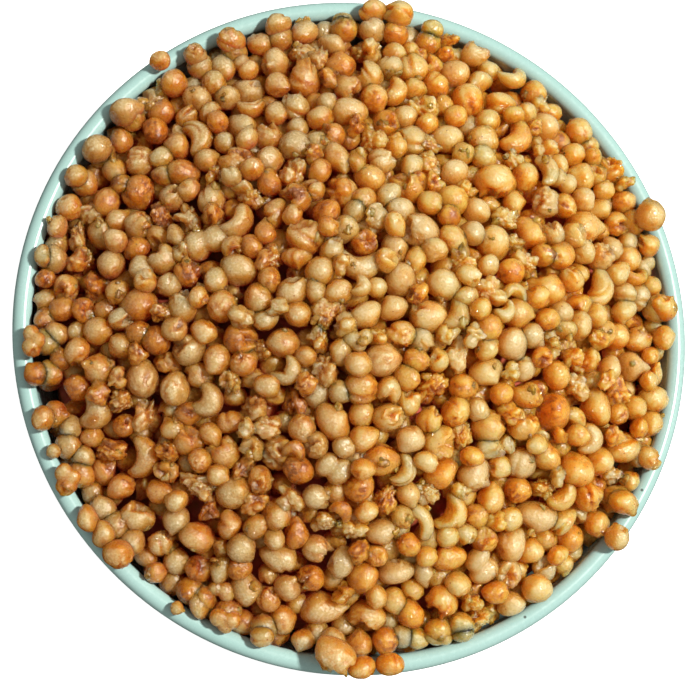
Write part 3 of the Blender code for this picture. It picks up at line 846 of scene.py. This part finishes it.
class Lump:
    """A piece while it is being shaped: a ball that is pushed in and out, and toasted in places."""

    def __init__(self, directions, draw):
        self.directions = directions
        self.draw = draw
        self.reach = np.ones(len(directions))
        self.toast = np.zeros(len(directions))

    def patch(self, centre, sharpness):
        """A round patch: one at its middle, and falling off the faster, the sharper it is."""
        return np.exp(sharpness * (self.directions @ centre - 1.0))

    def drawn(self, *spans):
        """A number drawn from each span. A plain number stays as it is."""
        return [self.draw.uniform(*span) if isinstance(span, tuple) else span for span in spans]

    def swell(self, count, height, sharpness):
        """Round swellings and dents."""
        for _ in range(count):
            centre = random_direction(self.draw)
            lift, falloff = self.drawn(height, sharpness)
            self.reach += lift * self.patch(centre, falloff)

    def tail(self, centre, height, sharpness):
        """A pointed tail, browned at its tip."""
        height, sharpness = self.drawn(height, sharpness)
        tip = self.patch(centre, sharpness)
        self.reach += height * tip
        self.toast += 0.30 * tip ** 2

    def crease(self, depth, width):
        """A pinched groove that runs part of the way round."""
        depth, width = self.drawn(depth, width)
        centre = upward_direction(self.draw, 1.3)
        side = unit(np.cross(centre, random_direction(self.draw)))
        groove = np.exp(-(self.directions @ side / width) ** 2) * self.patch(centre, 1.8)
        self.reach -= depth * groove
        self.toast += 0.28 * groove

    def mouth(self, centre, width, depth, lip):
        """A burst opening with a raised, ragged, browned lip."""
        width, depth, lip = self.drawn(width, depth, lip)
        side = unit(np.cross(centre, random_direction(self.draw)))
        slit = self.draw.uniform(0.45, 0.95)
        u = self.directions @ side
        v = self.directions @ np.cross(centre, side) / slit
        bearing = np.arctan2(v, u)
        phases = [self.draw.uniform(0.0, math.tau) for _ in range(3)]
        ragged = 1.0 + 0.20 * np.sin(3 * bearing + phases[0]) + 0.13 * np.sin(7 * bearing + phases[1])
        away = np.hypot(u, v) / (width * ragged)
        away = np.where(self.directions @ centre > 0.0, away, 9.0)
        hollow = np.exp(-(away ** 3))
        rim = np.exp(-(((away - 1.3) / 0.42) ** 2))
        self.reach += lip * rim * (0.75 + 0.6 * np.sin(2 * bearing + phases[2])) - depth * hollow
        self.toast += self.draw.uniform(0.05, 0.30) * hollow + self.draw.uniform(0.10, 0.38) * rim

    def crust(self, centre, sharpness, height, scale):
        """Crumbs of crust that stick together over a patch, browner between them."""
        sharpness, height, scale = self.drawn(sharpness, height, scale)
        shift = Vector([self.draw.uniform(-9.0, 9.0) for _ in range(3)])
        patch = np.minimum(1.8 * self.patch(centre, sharpness), 1.0)
        for i in np.flatnonzero(patch > 0.06):
            spot = Vector(self.directions[i])
            crumb = 0.42 - noise.voronoi(spot * scale + shift)[0][0]
            crumb += 0.25 * noise.noise(spot * 2.3 * scale + shift)
            self.reach[i] += height * patch[i] * (crumb + 0.06)
            self.toast[i] += patch[i] * (0.08 - 0.6 * crumb)

    def join(self, balls):
        """Follow the outside of a few balls that are stuck together."""
        total = np.zeros(len(self.directions))
        for u, v, w, radius in balls:
            centre = np.array((u, v, w))
            along = self.directions @ centre
            inside = radius * radius - centre @ centre + along ** 2
            edge = np.where(inside > 0.0, along + np.sqrt(np.maximum(inside, 0.0)), 0.0)
            total += np.exp(JOIN_SHARPNESS * np.maximum(edge, 0.05))
        self.reach = np.log(total) / JOIN_SHARPNESS

    def spots(self, count):
        """Darker, toasted patches."""
        for _ in range(count):
            patch = self.patch(random_direction(self.draw), self.draw.uniform(3.0, 22.0))
            self.toast += self.draw.uniform(0.12, 0.42) * patch

    def points(self):
        """The surface as it is now, pushed a little out of true."""
        points = self.directions * np.maximum(self.reach, THINNEST)[:, None]
        for _ in range(2):
            wave = points @ random_direction(self.draw) * self.draw.uniform(1.4, 3.0)
            push = random_direction(self.draw) * WARP
            points = points + np.sin(wave + self.draw.uniform(0.0, math.tau))[:, None] * push
        return points


def bend(points, turn):
    """Bend a long piece round, in its own plane."""
    angle = points[:, 0] * turn
    radius = 1.0 / turn - points[:, 1]
    return np.column_stack((radius * np.sin(angle), 1.0 / turn - radius * np.cos(angle), points[:, 2]))


def shape_round(lump, draw):
    """A nearly round pearl, often with a little tail, shoulder, dimple or crease, and crust."""
    lump.swell(3, (-0.13, 0.12), (1.5, 4.0))
    lump.swell(10, (-0.09, 0.11), (7.0, 30.0))
    style = draw.random()
    if style < 0.30:
        lump.tail(upward_direction(draw, 1.7), (0.12, 0.40), (14.0, 40.0))
    elif style < 0.52:
        lump.tail(upward_direction(draw, 1.7), (0.14, 0.30), (5.0, 12.0))
    elif style < 0.66:
        lump.mouth(upward_direction(draw, 1.3), (0.10, 0.24), (0.12, 0.4), 0.05)
    elif style < 0.80:
        lump.crease((0.08, 0.20), (0.09, 0.20))
    if draw.random() < 0.70:
        lump.crust(upward_direction(draw, 1.8), (1.8, 6.0), (0.12, 0.26), (3.0, 4.6))
    return lump.points()


def shape_popped(lump, draw):
    """A pearl that has burst open on one side."""
    lump.swell(4, (-0.14, 0.14), (1.5, 5.0))
    lump.swell(8, (-0.08, 0.09), (8.0, 24.0))
    centre = upward_direction(draw, 1.5)
    lump.mouth(centre, (0.26, 0.62), (0.35, 0.80), (0.10, 0.30))
    for _ in range(draw.choice((0, 1, 1, 2))):
        lump.tail(unit(centre + 0.8 * random_direction(draw)), (0.12, 0.38), (16.0, 55.0))
    if draw.random() < 0.5:
        lump.crease((0.12, 0.28), (0.09, 0.22))
    if draw.random() < 0.6:
        lump.crust(unit(centre + 0.7 * random_direction(draw)), (2.0, 6.0), (0.16, 0.32), (2.8, 4.6))
    return lump.points()


def shape_crusty(lump, draw):
    """A crumpled clump of crust."""
    balls = [(0.0, 0.0, 0.0, 0.5)]
    for _ in range(CLUMP_BALLS):
        middle = random_direction(draw) * draw.uniform(0.35, 0.62)
        balls.append((*middle, draw.uniform(0.22, 0.46)))
    lump.join(balls)
    lump.crust(random_direction(draw), 0.3, (0.20, 0.32), (1.8, 3.2))
    if draw.random() < 0.5:
        lump.mouth(upward_direction(draw, 1.2), (0.26, 0.5), (0.3, 0.6), (0.15, 0.3))
    return lump.points()


def shape_long(lump, draw):
    """An egg or a bean, tapered and a little bent."""
    lump.swell(3, (-0.09, 0.09), (1.5, 4.0))
    lump.swell(9, (-0.08, 0.085), (8.0, 24.0))
    style = draw.random()
    if style < 0.35:
        end = (draw.choice((-1.0, 1.0)), draw.uniform(-0.4, 0.4), draw.uniform(0.0, 0.5))
        lump.tail(unit(np.array(end)), (0.12, 0.35), (10.0, 40.0))
    elif style < 0.60:
        lump.crease((0.12, 0.26), (0.10, 0.20))
    elif style < 0.80:
        lump.mouth(upward_direction(draw, 1.5), (0.2, 0.45), (0.3, 0.6), 0.15)
    points = lump.points()
    taper = 1.0 - draw.uniform(0.0, 0.34) * points[:, 0]
    points[:, 1:] *= taper[:, None]
    return bend(points, draw.uniform(-0.8, 0.8))


def shape_crescent(lump, draw):
    """A pearl that has curled round into a horn."""
    lump.swell(3, (-0.10, 0.10), (1.5, 4.0))
    lump.swell(8, (-0.10, 0.10), (8.0, 26.0))
    if draw.random() < 0.4:
        lump.crease((0.12, 0.26), (0.10, 0.20))
    points = lump.points() * (1.0, draw.uniform(0.38, 0.46), draw.uniform(0.42, 0.52))
    return bend(points, draw.uniform(1.35, 1.95))


def shape_joined(lump, draw):
    """Pearls that are stuck together."""
    lump.swell(4, (-0.06, 0.06), (3.0, 9.0))
    lump.swell(8, (-0.04, 0.04), (12.0, 30.0))
    if draw.random() < 0.4:
        lump.mouth(upward_direction(draw, 1.4), (0.2, 0.36), (0.2, 0.45), 0.12)
    return lump.points()


SHAPERS = {
    "round": shape_round,
    "popped": shape_popped,
    "crusty": shape_crusty,
    "long": shape_long,
    "crescent": shape_crescent,
    "twin": shape_joined,
    "heart": shape_joined,
}


def fit(points, pearl):
    """Bring a shaped piece to its length, width and level."""
    low = points.min(0)
    high = points.max(0)
    longer = FULLNESS * pearl.length / (high[0] - low[0])
    wider = min(max(FULLNESS * pearl.width / (high[1] - low[1]), 0.72 * longer), 1.3 * longer)
    points = (points - (low + high) / 2) * (longer, wider, (longer + wider) / 2)
    if pearl.kind in ("long", "crescent", "crusty"):
        points[:, 2] += pearl.width / 2 - points[:, 2].max()
    return points


def shape_pearl(pearl, directions, draw):
    """The points of one piece in its own axes, x along it and z out of the heap, and its toasting."""
    lump = Lump(directions, draw)
    if pearl.kind in JOINED:
        lump.join(JOINED[pearl.kind])
    points = SHAPERS[pearl.kind](lump, draw)
    lump.spots(draw.choice((0, 1, 1, 2, 3)))
    return fit(points, pearl), lump.toast


def facing_of(points, trios):
    """How squarely the surface faces out of the heap at each point."""
    first, second, third = (points[trios[:, k]] for k in range(3))
    across = np.cross(second - first, third - first)
    total = np.zeros_like(points)
    for k in range(3):
        np.add.at(total, trios[:, k], across)
    return np.maximum(total[:, 2], 0.0) / np.linalg.norm(total, axis=1)


def tone_of(pearl, draw):
    """How fried and how greyish a piece is: its tone, shifted by its place (painted shade on the left)
    and at random.
    """
    shares = [(name, TONES[name][2]) for name in TONES]
    fried, grey, _ = TONES[pearl.tone or pick(shares, draw.random(), "honey")]
    if pearl.layer == "crumb":
        fried, grey = draw.uniform(0.35, 0.75), 0.0
    cluster = noise.noise(Vector((pearl.x, pearl.y, 0.0)) / CLUSTER + Vector((9.0, 2.0, 5.0)))
    sideways = pearl.x / RIM_RADIUS
    if pearl.kind == "crusty":
        grey *= 0.4
    # Painted shade: pieces on the left of the heap are made more fried and greyer, the side away from the
    # key light.
    fried += 0.12 * cluster + draw.gauss(0.0, 0.05) - 0.04 * sideways
    grey += draw.gauss(0.0, 0.10) - 0.12 * sideways
    grey *= min(max((0.62 - fried) / 0.30, 0.0), 1.0)
    return min(max(fried, 0.0), 0.95), min(max(grey, 0.0), 1.0)


def crevice_of(placed, pearl, crowd):
    """How near each point of a piece is to its neighbours."""
    near = crowd.near(pearl.x, pearl.y, pearl.radius + 5.0 * MM)
    own = np.abs(near[:, :3] - (pearl.x, pearl.y, pearl.z)).sum(1) < 0.01 * MM
    near = near[~own]
    if not len(near):
        return np.zeros(len(placed))
    gaps = np.linalg.norm(placed[:, None, :] - near[None, :, :3], axis=2) - near[:, 3]
    return np.exp(-np.maximum(gaps.min(1), 0.0) / CREVICE_WIDTH)


def laid_in_heap(pearl, points):
    """A piece's points in the heap: its top faces out of the heap, where the piece lies."""
    out = heap_slope(pearl.x, pearl.y)
    along = Vector((math.cos(pearl.turn), math.sin(pearl.turn), 0.0))
    along = (along - out * along.dot(out)).normalized()
    return points @ np.array((along, out.cross(along), out)) + (pearl.x, pearl.y, pearl.z)


def tones_at(pearl, points, toast, facing, crevice, draw):
    """How fried and greyish, how near a neighbour, and how squarely it faces out: for each point."""
    fried, grey = tone_of(pearl, draw)
    below = outline_height(pearl.x, pearl.y) - SHADE_START - points[:, 2]
    depth = np.clip(below / SHADE_DEPTH, 0.0, 1.0)
    # Painted shade: deeper under the outline a point is made more fried, more crevice-tinted and less
    # open, which also darkens it toward the gap shade.
    return np.column_stack((
        np.clip(fried + toast + 0.20 * depth, 0.0, 1.0),
        grey * (1.0 - 0.5 * np.clip(toast * 2.0, 0.0, 1.0)),
        np.clip(crevice + 0.5 * depth, 0.0, 1.0),
        facing * (1.0 - 0.6 * depth) - depth,
    ))


def build_pearls(name, chosen, cuts):
    """Joined mesh of the chosen pearls, each with a shape and a texture place of its own."""
    directions, trios, square = eight_sided_ball(cuts)
    crowd = Crowd(heap_plan())
    cells = math.ceil(math.sqrt(len(chosen)))
    points, faces, places, tones = [], [], [], []
    for i, pearl in enumerate(chosen):
        draw = random.Random(f"{name}/{i}")
        shape, toast = shape_pearl(pearl, directions, draw)
        placed = laid_in_heap(pearl, shape)
        crevice = crevice_of(placed, pearl, crowd)
        points.append(placed)
        faces.append(trios + i * len(directions))
        corner = np.array((i % cells, i // cells)) + PLACE_MARGIN
        places.append((corner + (1.0 - 2.0 * PLACE_MARGIN) * square) / cells)
        tones.append(tones_at(pearl, placed, toast, facing_of(shape, trios), crevice, draw))
    mesh = smooth_mesh(name, *(np.vstack(part) for part in (points, faces, places, tones)))
    add_piece(name, mesh, grain_material(f"fried_{name}"), "puffed_grain", "snack_heap")
    return {"FINISHED"}


# ---- Materials ----


class Sheet:
    """A material's nodes, added one by one. Its patterns lie by the place on the object."""

    def __init__(self, name):
        self.material = bpy.data.materials.new(name)
        self.material.use_nodes = True
        self.tree = self.material.node_tree
        self.shader = self.tree.nodes["Principled BSDF"]
        self.place = self.add("ShaderNodeTexCoord").outputs["Object"]

    def add(self, kind, inputs=(), **settings):
        """A node with settings, its inputs linked to sockets or set to values."""
        made = self.tree.nodes.new(kind)
        for key, value in settings.items():
            setattr(made, key, value)
        for key, value in dict(inputs).items():
            self.feed(made.inputs[key], value)
        return made

    def feed(self, socket, value):
        """Link a socket to another, or set its value. A colour is opaque."""
        if isinstance(value, bpy.types.NodeSocket):
            self.tree.links.new(value, socket)
        else:
            socket.default_value = (*value, 1.0) if socket.type == "RGBA" else value

    def surface(self, **inputs):
        """Set or link the shader's own sockets, named with underscores."""
        for key, value in inputs.items():
            self.feed(self.shader.inputs[key.replace("_", " ").title().replace("Ior", "IOR")], value)

    def maths(self, operation, a, b, clamp=False):
        """One sum of two numbers or sockets."""
        node = self.add("ShaderNodeMath", {0: a, 1: b}, operation=operation, use_clamp=clamp)
        return node.outputs[0]

    def plus(self, a, b, clamp=False):
        """Two values added."""
        return self.maths("ADD", a, b, clamp)

    def times(self, a, *others):
        """Values multiplied."""
        for b in others:
            a = self.maths("MULTIPLY", a, b)
        return a

    def around(self, value, swing):
        """A pattern's swing to both sides of its middle."""
        return self.times(self.maths("SUBTRACT", value, 0.5), swing)

    def between(self, value, low, high, to_low=0.0, to_high=1.0):
        """A smooth step between two values."""
        node = self.add("ShaderNodeMapRange", {
            "Value": value, "From Min": low, "From Max": high, "To Min": to_low, "To Max": to_high,
        })
        node.interpolation_type = "SMOOTHSTEP"
        return node.outputs["Result"]

    def mix(self, part, a, b, blend_type="MIX"):
        """A mix of two colours, with so large a part of the second."""
        node = self.add("ShaderNodeMix", data_type="RGBA", blend_type=blend_type)
        self.feed(node.inputs["Factor"], part)
        self.feed(node.inputs["A"], a)
        self.feed(node.inputs["B"], b)
        return node.outputs["Result"]

    def ramp(self, value, stops):
        """Colours along a value."""
        node = self.add("ShaderNodeValToRGB", {"Fac": value})
        elements = node.color_ramp.elements
        while len(elements) < len(stops):
            elements.new(0.5)
        for element, (position, shade) in zip(elements, stops):
            element.position = position
            element.color = (*shade, 1.0)
        return node.outputs["Color"]

    def axis(self, letter):
        """The place along one axis."""
        return self.add("ShaderNodeSeparateXYZ", {"Vector": self.place}).outputs[letter]

    def noise(self, waves, detail=2.0):
        """Soft noise of so many waves to a metre."""
        inputs = {"Vector": self.place, "Scale": waves, "Detail": detail}
        return self.add("ShaderNodeTexNoise", inputs).outputs["Fac"]

    def cells(self, spacing):
        """The distance from the middles of cells that lie so far apart."""
        inputs = {"Vector": self.place, "Scale": 1.0 / spacing}
        return self.add("ShaderNodeTexVoronoi", inputs).outputs["Distance"]

    def relief(self, height, distance, part=1.0):
        """The slope of a relief of this height."""
        inputs = {"Height": height, "Strength": part, "Distance": distance}
        return self.add("ShaderNodeBump", inputs).outputs["Normal"]


def grain_colour(sheet, patch, fine):
    """The colour of fried grain, with burnt pores, paler dry tops that are partly a painted highlight,
    and painted shade: on the sides, in the crevices between pieces (with oil there too), and deep in the
    gaps.

    A point's tones say how fried and how greyish it is, how near its neighbours are, and how
    squarely it faces out of the heap, less its depth. The left of the heap is darker and duller: painted
    shade for the side away from the key light.
    """
    grain = bpy.context.scene.grain_look
    tones = sheet.add("ShaderNodeAttribute", attribute_name="tones", attribute_type="GEOMETRY")
    parts = sheet.add("ShaderNodeSeparateColor", {"Color": tones.outputs["Color"]})
    fried, grey, crevice = parts.outputs
    facing = tones.outputs["Alpha"]
    # Mask for the painted shade on the left of the heap, the side away from the key light.
    left = sheet.between(sheet.axis("X"), PAINTED_SHADE_REACH, -PAINTED_SHADE_REACH)

    mottle = sheet.between(patch, 0.36, 0.64, -0.15, 0.20)
    toast = sheet.plus(sheet.plus(fried, mottle), sheet.around(fine, 0.25), clamp=True)
    base = sheet.ramp(toast, (
        (0.0, grain.cream), (0.28, grain.honey), (0.52, grain.golden), (0.78, grain.rust),
        (1.0, grain.burnt),
    ))
    base = sheet.mix(grey, base, grain.greyish)

    # Painted shade on a pearl's sides, weaker on the left, then painted shade over the whole left of the
    # heap.
    side = sheet.times(sheet.between(facing, 0.95, 0.30), sheet.between(left, 0.0, 1.0, 1.0, 0.5))
    base = sheet.mix(side, base, grain.rim_shade, "MULTIPLY")
    base = sheet.mix(left, base, grain.painted_left_shade, "MULTIPLY")

    # Paler tops where a pearl faces out of the heap: partly a dry surface, partly a painted highlight.
    dry_top_and_painted_highlight = sheet.times(
        sheet.between(facing, 0.55, 1.0), sheet.between(fine, 0.48, 0.68, 0.55, 1.0),
        sheet.between(fried, 0.75, 0.25, 0.15, 1.0), sheet.between(left, 0.0, 1.0, 0.60, 1.0),
    )
    base = sheet.mix(dry_top_and_painted_highlight, base, grain.frost_and_painted_highlight)
    # Painted shade over everything on the left of the heap, tops included.
    base = sheet.mix(left, base, grain.painted_left_top_shade, "MULTIPLY")
    # Red-brown near neighbours and deeper down: partly oil, partly painted shade between the pieces.
    base = sheet.mix(sheet.times(crevice, 0.52), base, grain.oil_and_painted_shade)

    # Painted shade and red bounce light where a point lies deep in a gap, more of it and darker on the
    # left.
    gap_start = sheet.times(left, 0.42)
    gap_end = sheet.maths("SUBTRACT", sheet.times(left, 0.40), 0.8)
    brown = sheet.mix(left, grain.deep, grain.painted_left_gap_shade)
    base = sheet.mix(sheet.between(facing, gap_start, gap_end), base, brown)

    pore = sheet.between(sheet.cells(PORE_SPACING), 0.11, 0.06)
    pore = sheet.times(pore, sheet.between(patch, 0.48, 0.56), 0.85)
    return sheet.mix(pore, base, grain.burnt)


def grain_material(name):
    """Fried, waxy grain: light passes under its skin, and a film of oil lies on it."""
    grain = bpy.context.scene.grain_look
    sheet = Sheet(name)
    patch = sheet.noise(PATCH_WAVES, 3.0)
    fine = sheet.noise(FINE_WAVES, 1.0)
    height = sheet.plus(fine, sheet.times(sheet.cells(grain.grit), 0.35))
    height = sheet.plus(height, sheet.times(patch, 1.5))
    sheet.surface(
        base_color=grain_colour(sheet, patch, fine),
        roughness=sheet.between(fine, 0.3, 0.7, grain.roughness - 0.05, grain.roughness + 0.10),
        normal=sheet.relief(height, GRAIN_RELIEF),
        specular_ior_level=0.5,
        coat_normal=sheet.relief(height, FILM_RELIEF),
        coat_weight=1.0,
        coat_ior=1.5,
        coat_roughness=0.12,
        subsurface_weight=grain.glow,
        subsurface_radius=SKIN_SHARES,
        subsurface_scale=SKIN_DEPTH,
    )
    return sheet.material


def core_material():
    """The dark ground that shows deep in the gaps: its dark red-brown is painted shade."""
    grain = bpy.context.scene.grain_look
    sheet = Sheet("core_in_painted_shade")
    patch = sheet.noise(CORE_WAVES, 4.0)
    sheet.surface(
        base_color=sheet.mix(sheet.between(patch, 0.35, 0.7), grain.core, grain.burnt),
        roughness=sheet.between(patch, 0.3, 0.7, 0.6, 0.85),
        normal=sheet.relief(patch, 0.6 * MM, 0.6),
    )
    return sheet.material


def glaze_material():
    """Pale aqua glaze, a little deeper where it has pooled, with small dark specks on the rim."""
    look = bpy.context.scene.bowl_look
    sheet = Sheet("aqua_glaze")
    broad = sheet.noise(GLAZE_WAVES, 3.0)
    low = sheet.between(sheet.axis("Z"), 0.2 * RIM_LEVEL, 0.0)
    pool = sheet.plus(sheet.between(broad, 0.35, 0.7, 0.0, 0.35), sheet.times(low, 0.6), clamp=True)
    base = sheet.mix(pool, look.glaze, look.pooled)
    for pixel in RIM_SPECKS:
        places = {0: sheet.place, 1: place_at(*pixel, RIM_LEVEL)}
        away = sheet.add("ShaderNodeVectorMath", places, operation="DISTANCE").outputs["Value"]
        speck = sheet.between(away, *SPECK_EDGE, 0.0, 0.8)
        base = sheet.mix(speck, base, SPECK_COLOUR)
    fine = sheet.noise(GLAZE_FINE_WAVES)
    sheet.surface(
        base_color=base,
        roughness=sheet.between(fine, 0.3, 0.7, look.gloss, look.gloss + 0.08),
        normal=sheet.relief(broad, 0.3 * MM, 0.15),
        coat_weight=0.5,
        coat_roughness=0.08,
    )
    return sheet.material


def floor_material():
    """A plain pale floor that keeps only a faint shadow."""
    stage = bpy.context.scene.stage_look
    sheet = Sheet("pale_floor")
    sheet.surface(
        base_color=stage.floor,
        roughness=sheet.between(sheet.noise(FLOOR_WAVES), 0.3, 0.7, 0.8, 0.9),
        emission_color=(1.0, 1.0, 1.0),
        emission_strength=stage.floor_glow,
    )
    return sheet.material


# ---- Floor, light and camera ----


def lay_floor(context):
    """The floor. It throws no light on the object and isn't mirrored in it."""
    corners = [(x * FLOOR_HALF, y * FLOOR_HALF, 0.0) for x, y in ((-1, -1), (1, -1), (1, 1), (-1, 1))]
    mesh = smooth_mesh("floor", corners, [(0, 1, 2), (0, 2, 3)])
    mesh.materials.append(floor_material())
    floor = bpy.data.objects.new("floor", mesh)
    context.scene.collection.objects.link(floor)
    floor.visible_diffuse = False
    floor.visible_glossy = False


def hang_lights(context):
    """The key light, and an even fill that isn't mirrored in the glaze or the oil."""
    stage = context.scene.stage_look
    key = bpy.data.lights.new("key", "SUN")
    key.energy = stage.sun
    key.angle = stage.sun_softness
    key.color = stage.sun_colour
    lamp = bpy.data.objects.new("key", key)
    side, height = stage.sun_side, stage.sun_height
    source = Vector((math.cos(side), math.sin(side), math.tan(height)))
    lamp.rotation_euler = source.to_track_quat("Z", "Y").to_euler()
    context.scene.collection.objects.link(lamp)
    world = bpy.data.worlds.new("studio")
    world.use_nodes = True
    background = world.node_tree.nodes["Background"].inputs
    background["Color"].default_value = (*stage.fill_colour, 1.0)
    background["Strength"].default_value = stage.fill
    context.scene.world = world
    world.cycles_visibility.glossy = False


def set_camera(context):
    """The camera, at the photograph's angle."""
    stage = context.scene.stage_look
    axes = view_axes()
    lens = bpy.data.cameras.new("camera")
    lens.sensor_width = SENSOR_WIDTH
    lens.lens = SENSOR_WIDTH * stage.camera_focus / PHOTO_WIDTH
    camera = bpy.data.objects.new("camera", lens)
    place = Matrix.Translation(view_aim() + axes[2] * stage.camera_distance)
    camera.matrix_world = place @ Matrix(axes).transposed().to_4x4()
    context.scene.collection.objects.link(camera)
    context.scene.camera = camera


# ---- Operators ----


class SNACK_OT_bowl(bpy.types.Operator):
    """Turn the glazed bowl, with its rolled rim and foot ring"""

    bl_idname = "snack.bowl"
    bl_label = "Glazed Bowl"

    def execute(self, context):
        rings = [circle(radius, height, BOWL_TURNS) for radius, height in bowl_section()]
        mesh = mesh_from_rings("glazed_bowl", rings, closed=True)
        add_piece("glazed_bowl", mesh, glaze_material(), "glaze", "bowl")
        return {"FINISHED"}


class SNACK_OT_core(bpy.types.Operator):
    """Lay the dark core of the heap in the bowl"""

    bl_idname = "snack.core"
    bl_label = "Heap Core"

    def execute(self, context):
        mesh = mesh_from_rings("heap_core", core_rings())
        add_piece("heap_core", mesh, core_material(), "puffed_grain", "snack_heap")
        return {"FINISHED"}


class SNACK_OT_lower_pearls(bpy.types.Operator):
    """Lay the pearls that are seen through the gaps"""

    bl_idname = "snack.lower_pearls"
    bl_label = "Lower Pearls"

    def execute(self, context):
        return build_pearls("lower_pearls", pearls_of("lower"), cuts=5)


class SNACK_OT_pocket_pearls(bpy.types.Operator):
    """Lay the small pearls that fill the pockets between the larger ones"""

    bl_idname = "snack.pocket_pearls"
    bl_label = "Pocket Pearls"

    def execute(self, context):
        return build_pearls("pocket_pearls", pearls_of("edge") + pearls_of("pocket"), cuts=8)


class SNACK_OT_round_pearls(bpy.types.Operator):
    """Lay the round pearls that show"""

    bl_idname = "snack.round_pearls"
    bl_label = "Round Pearls"

    def execute(self, context):
        return build_pearls("round_pearls", pearls_of("shown", "round"), cuts=10)


class SNACK_OT_popped_pearls(bpy.types.Operator):
    """Lay the pearls that have burst open"""

    bl_idname = "snack.popped_pearls"
    bl_label = "Popped Pearls"

    def execute(self, context):
        return build_pearls("popped_pearls", pearls_of("shown", "popped"), cuts=14)


class SNACK_OT_crusty_pearls(bpy.types.Operator):
    """Lay the crumpled flakes of crust"""

    bl_idname = "snack.crusty_pearls"
    bl_label = "Crusty Pearls"

    def execute(self, context):
        return build_pearls("crusty_pearls", pearls_of("shown", "crusty"), cuts=16)


class SNACK_OT_long_pearls(bpy.types.Operator):
    """Lay the egg-shaped and bean-shaped pearls"""

    bl_idname = "snack.long_pearls"
    bl_label = "Long Pearls"

    def execute(self, context):
        return build_pearls("long_pearls", pearls_of("shown", "long"), cuts=12)


class SNACK_OT_curled_pearls(bpy.types.Operator):
    """Lay the pearls that have curled round"""

    bl_idname = "snack.curled_pearls"
    bl_label = "Curled Pearls"

    def execute(self, context):
        return build_pearls("curled_pearls", pearls_of("shown", "crescent"), cuts=14)


class SNACK_OT_joined_pearls(bpy.types.Operator):
    """Lay the twin and heart-shaped pieces"""

    bl_idname = "snack.joined_pearls"
    bl_label = "Joined Pearls"

    def execute(self, context):
        return build_pearls("joined_pearls", pearls_of("shown", *JOINED), cuts=14)


class SNACK_OT_crumbs(bpy.types.Operator):
    """Stick small bits of crust to the pearls"""

    bl_idname = "snack.crumbs"
    bl_label = "Crumbs"

    def execute(self, context):
        return build_pearls("crumbs", pearls_of("crumb"), cuts=5)


class SNACK_OT_stage(bpy.types.Operator):
    """Set the floor, the light and the camera"""

    bl_idname = "snack.stage"
    bl_label = "Stage"

    def execute(self, context):
        lay_floor(context)
        hang_lights(context)
        set_camera(context)
        context.scene.view_settings.view_transform = "Standard"
        return {"FINISHED"}


OPERATORS = (
    SNACK_OT_bowl,
    SNACK_OT_core,
    SNACK_OT_lower_pearls,
    SNACK_OT_pocket_pearls,
    SNACK_OT_round_pearls,
    SNACK_OT_popped_pearls,
    SNACK_OT_crusty_pearls,
    SNACK_OT_long_pearls,
    SNACK_OT_curled_pearls,
    SNACK_OT_joined_pearls,
    SNACK_OT_crumbs,
    SNACK_OT_stage,
)


class SNACK_PT_panel(bpy.types.Panel):
    """The pieces of the snack bowl and their settings"""

    bl_label = "Snack Bowl"
    bl_space_type = "VIEW_3D"
    bl_region_type = "UI"
    bl_category = "Snack Bowl"

    def draw(self, context):
        for name, group in SETTINGS:
            box = self.layout.box()
            box.label(text=group.__name__.replace("Settings", ""))
            for key in group.__annotations__:
                box.prop(getattr(context.scene, name), key)
        for operator in OPERATORS:
            self.layout.operator(operator.bl_idname)


def register():
    """Register the settings, operators and panel."""
    for name, group in SETTINGS:
        bpy.utils.register_class(group)
        setattr(bpy.types.Scene, name, PointerProperty(type=group))
    for item in (*OPERATORS, SNACK_PT_panel):
        bpy.utils.register_class(item)


def unregister():
    """Take the panel, operators and settings away again."""
    for item in (SNACK_PT_panel, *reversed(OPERATORS)):
        bpy.utils.unregister_class(item)
    for name, group in reversed(SETTINGS):
        delattr(bpy.types.Scene, name)
        bpy.utils.unregister_class(group)


def main():
    """Make every piece in order."""
    register()
    for operator in OPERATORS:
        family, name = operator.bl_idname.split(".")
        result = getattr(getattr(bpy.ops, family), name)()
        if result != {"FINISHED"}:
            raise RuntimeError(f"{operator.bl_label} did not finish")


if __name__ == "__main__":
    main()
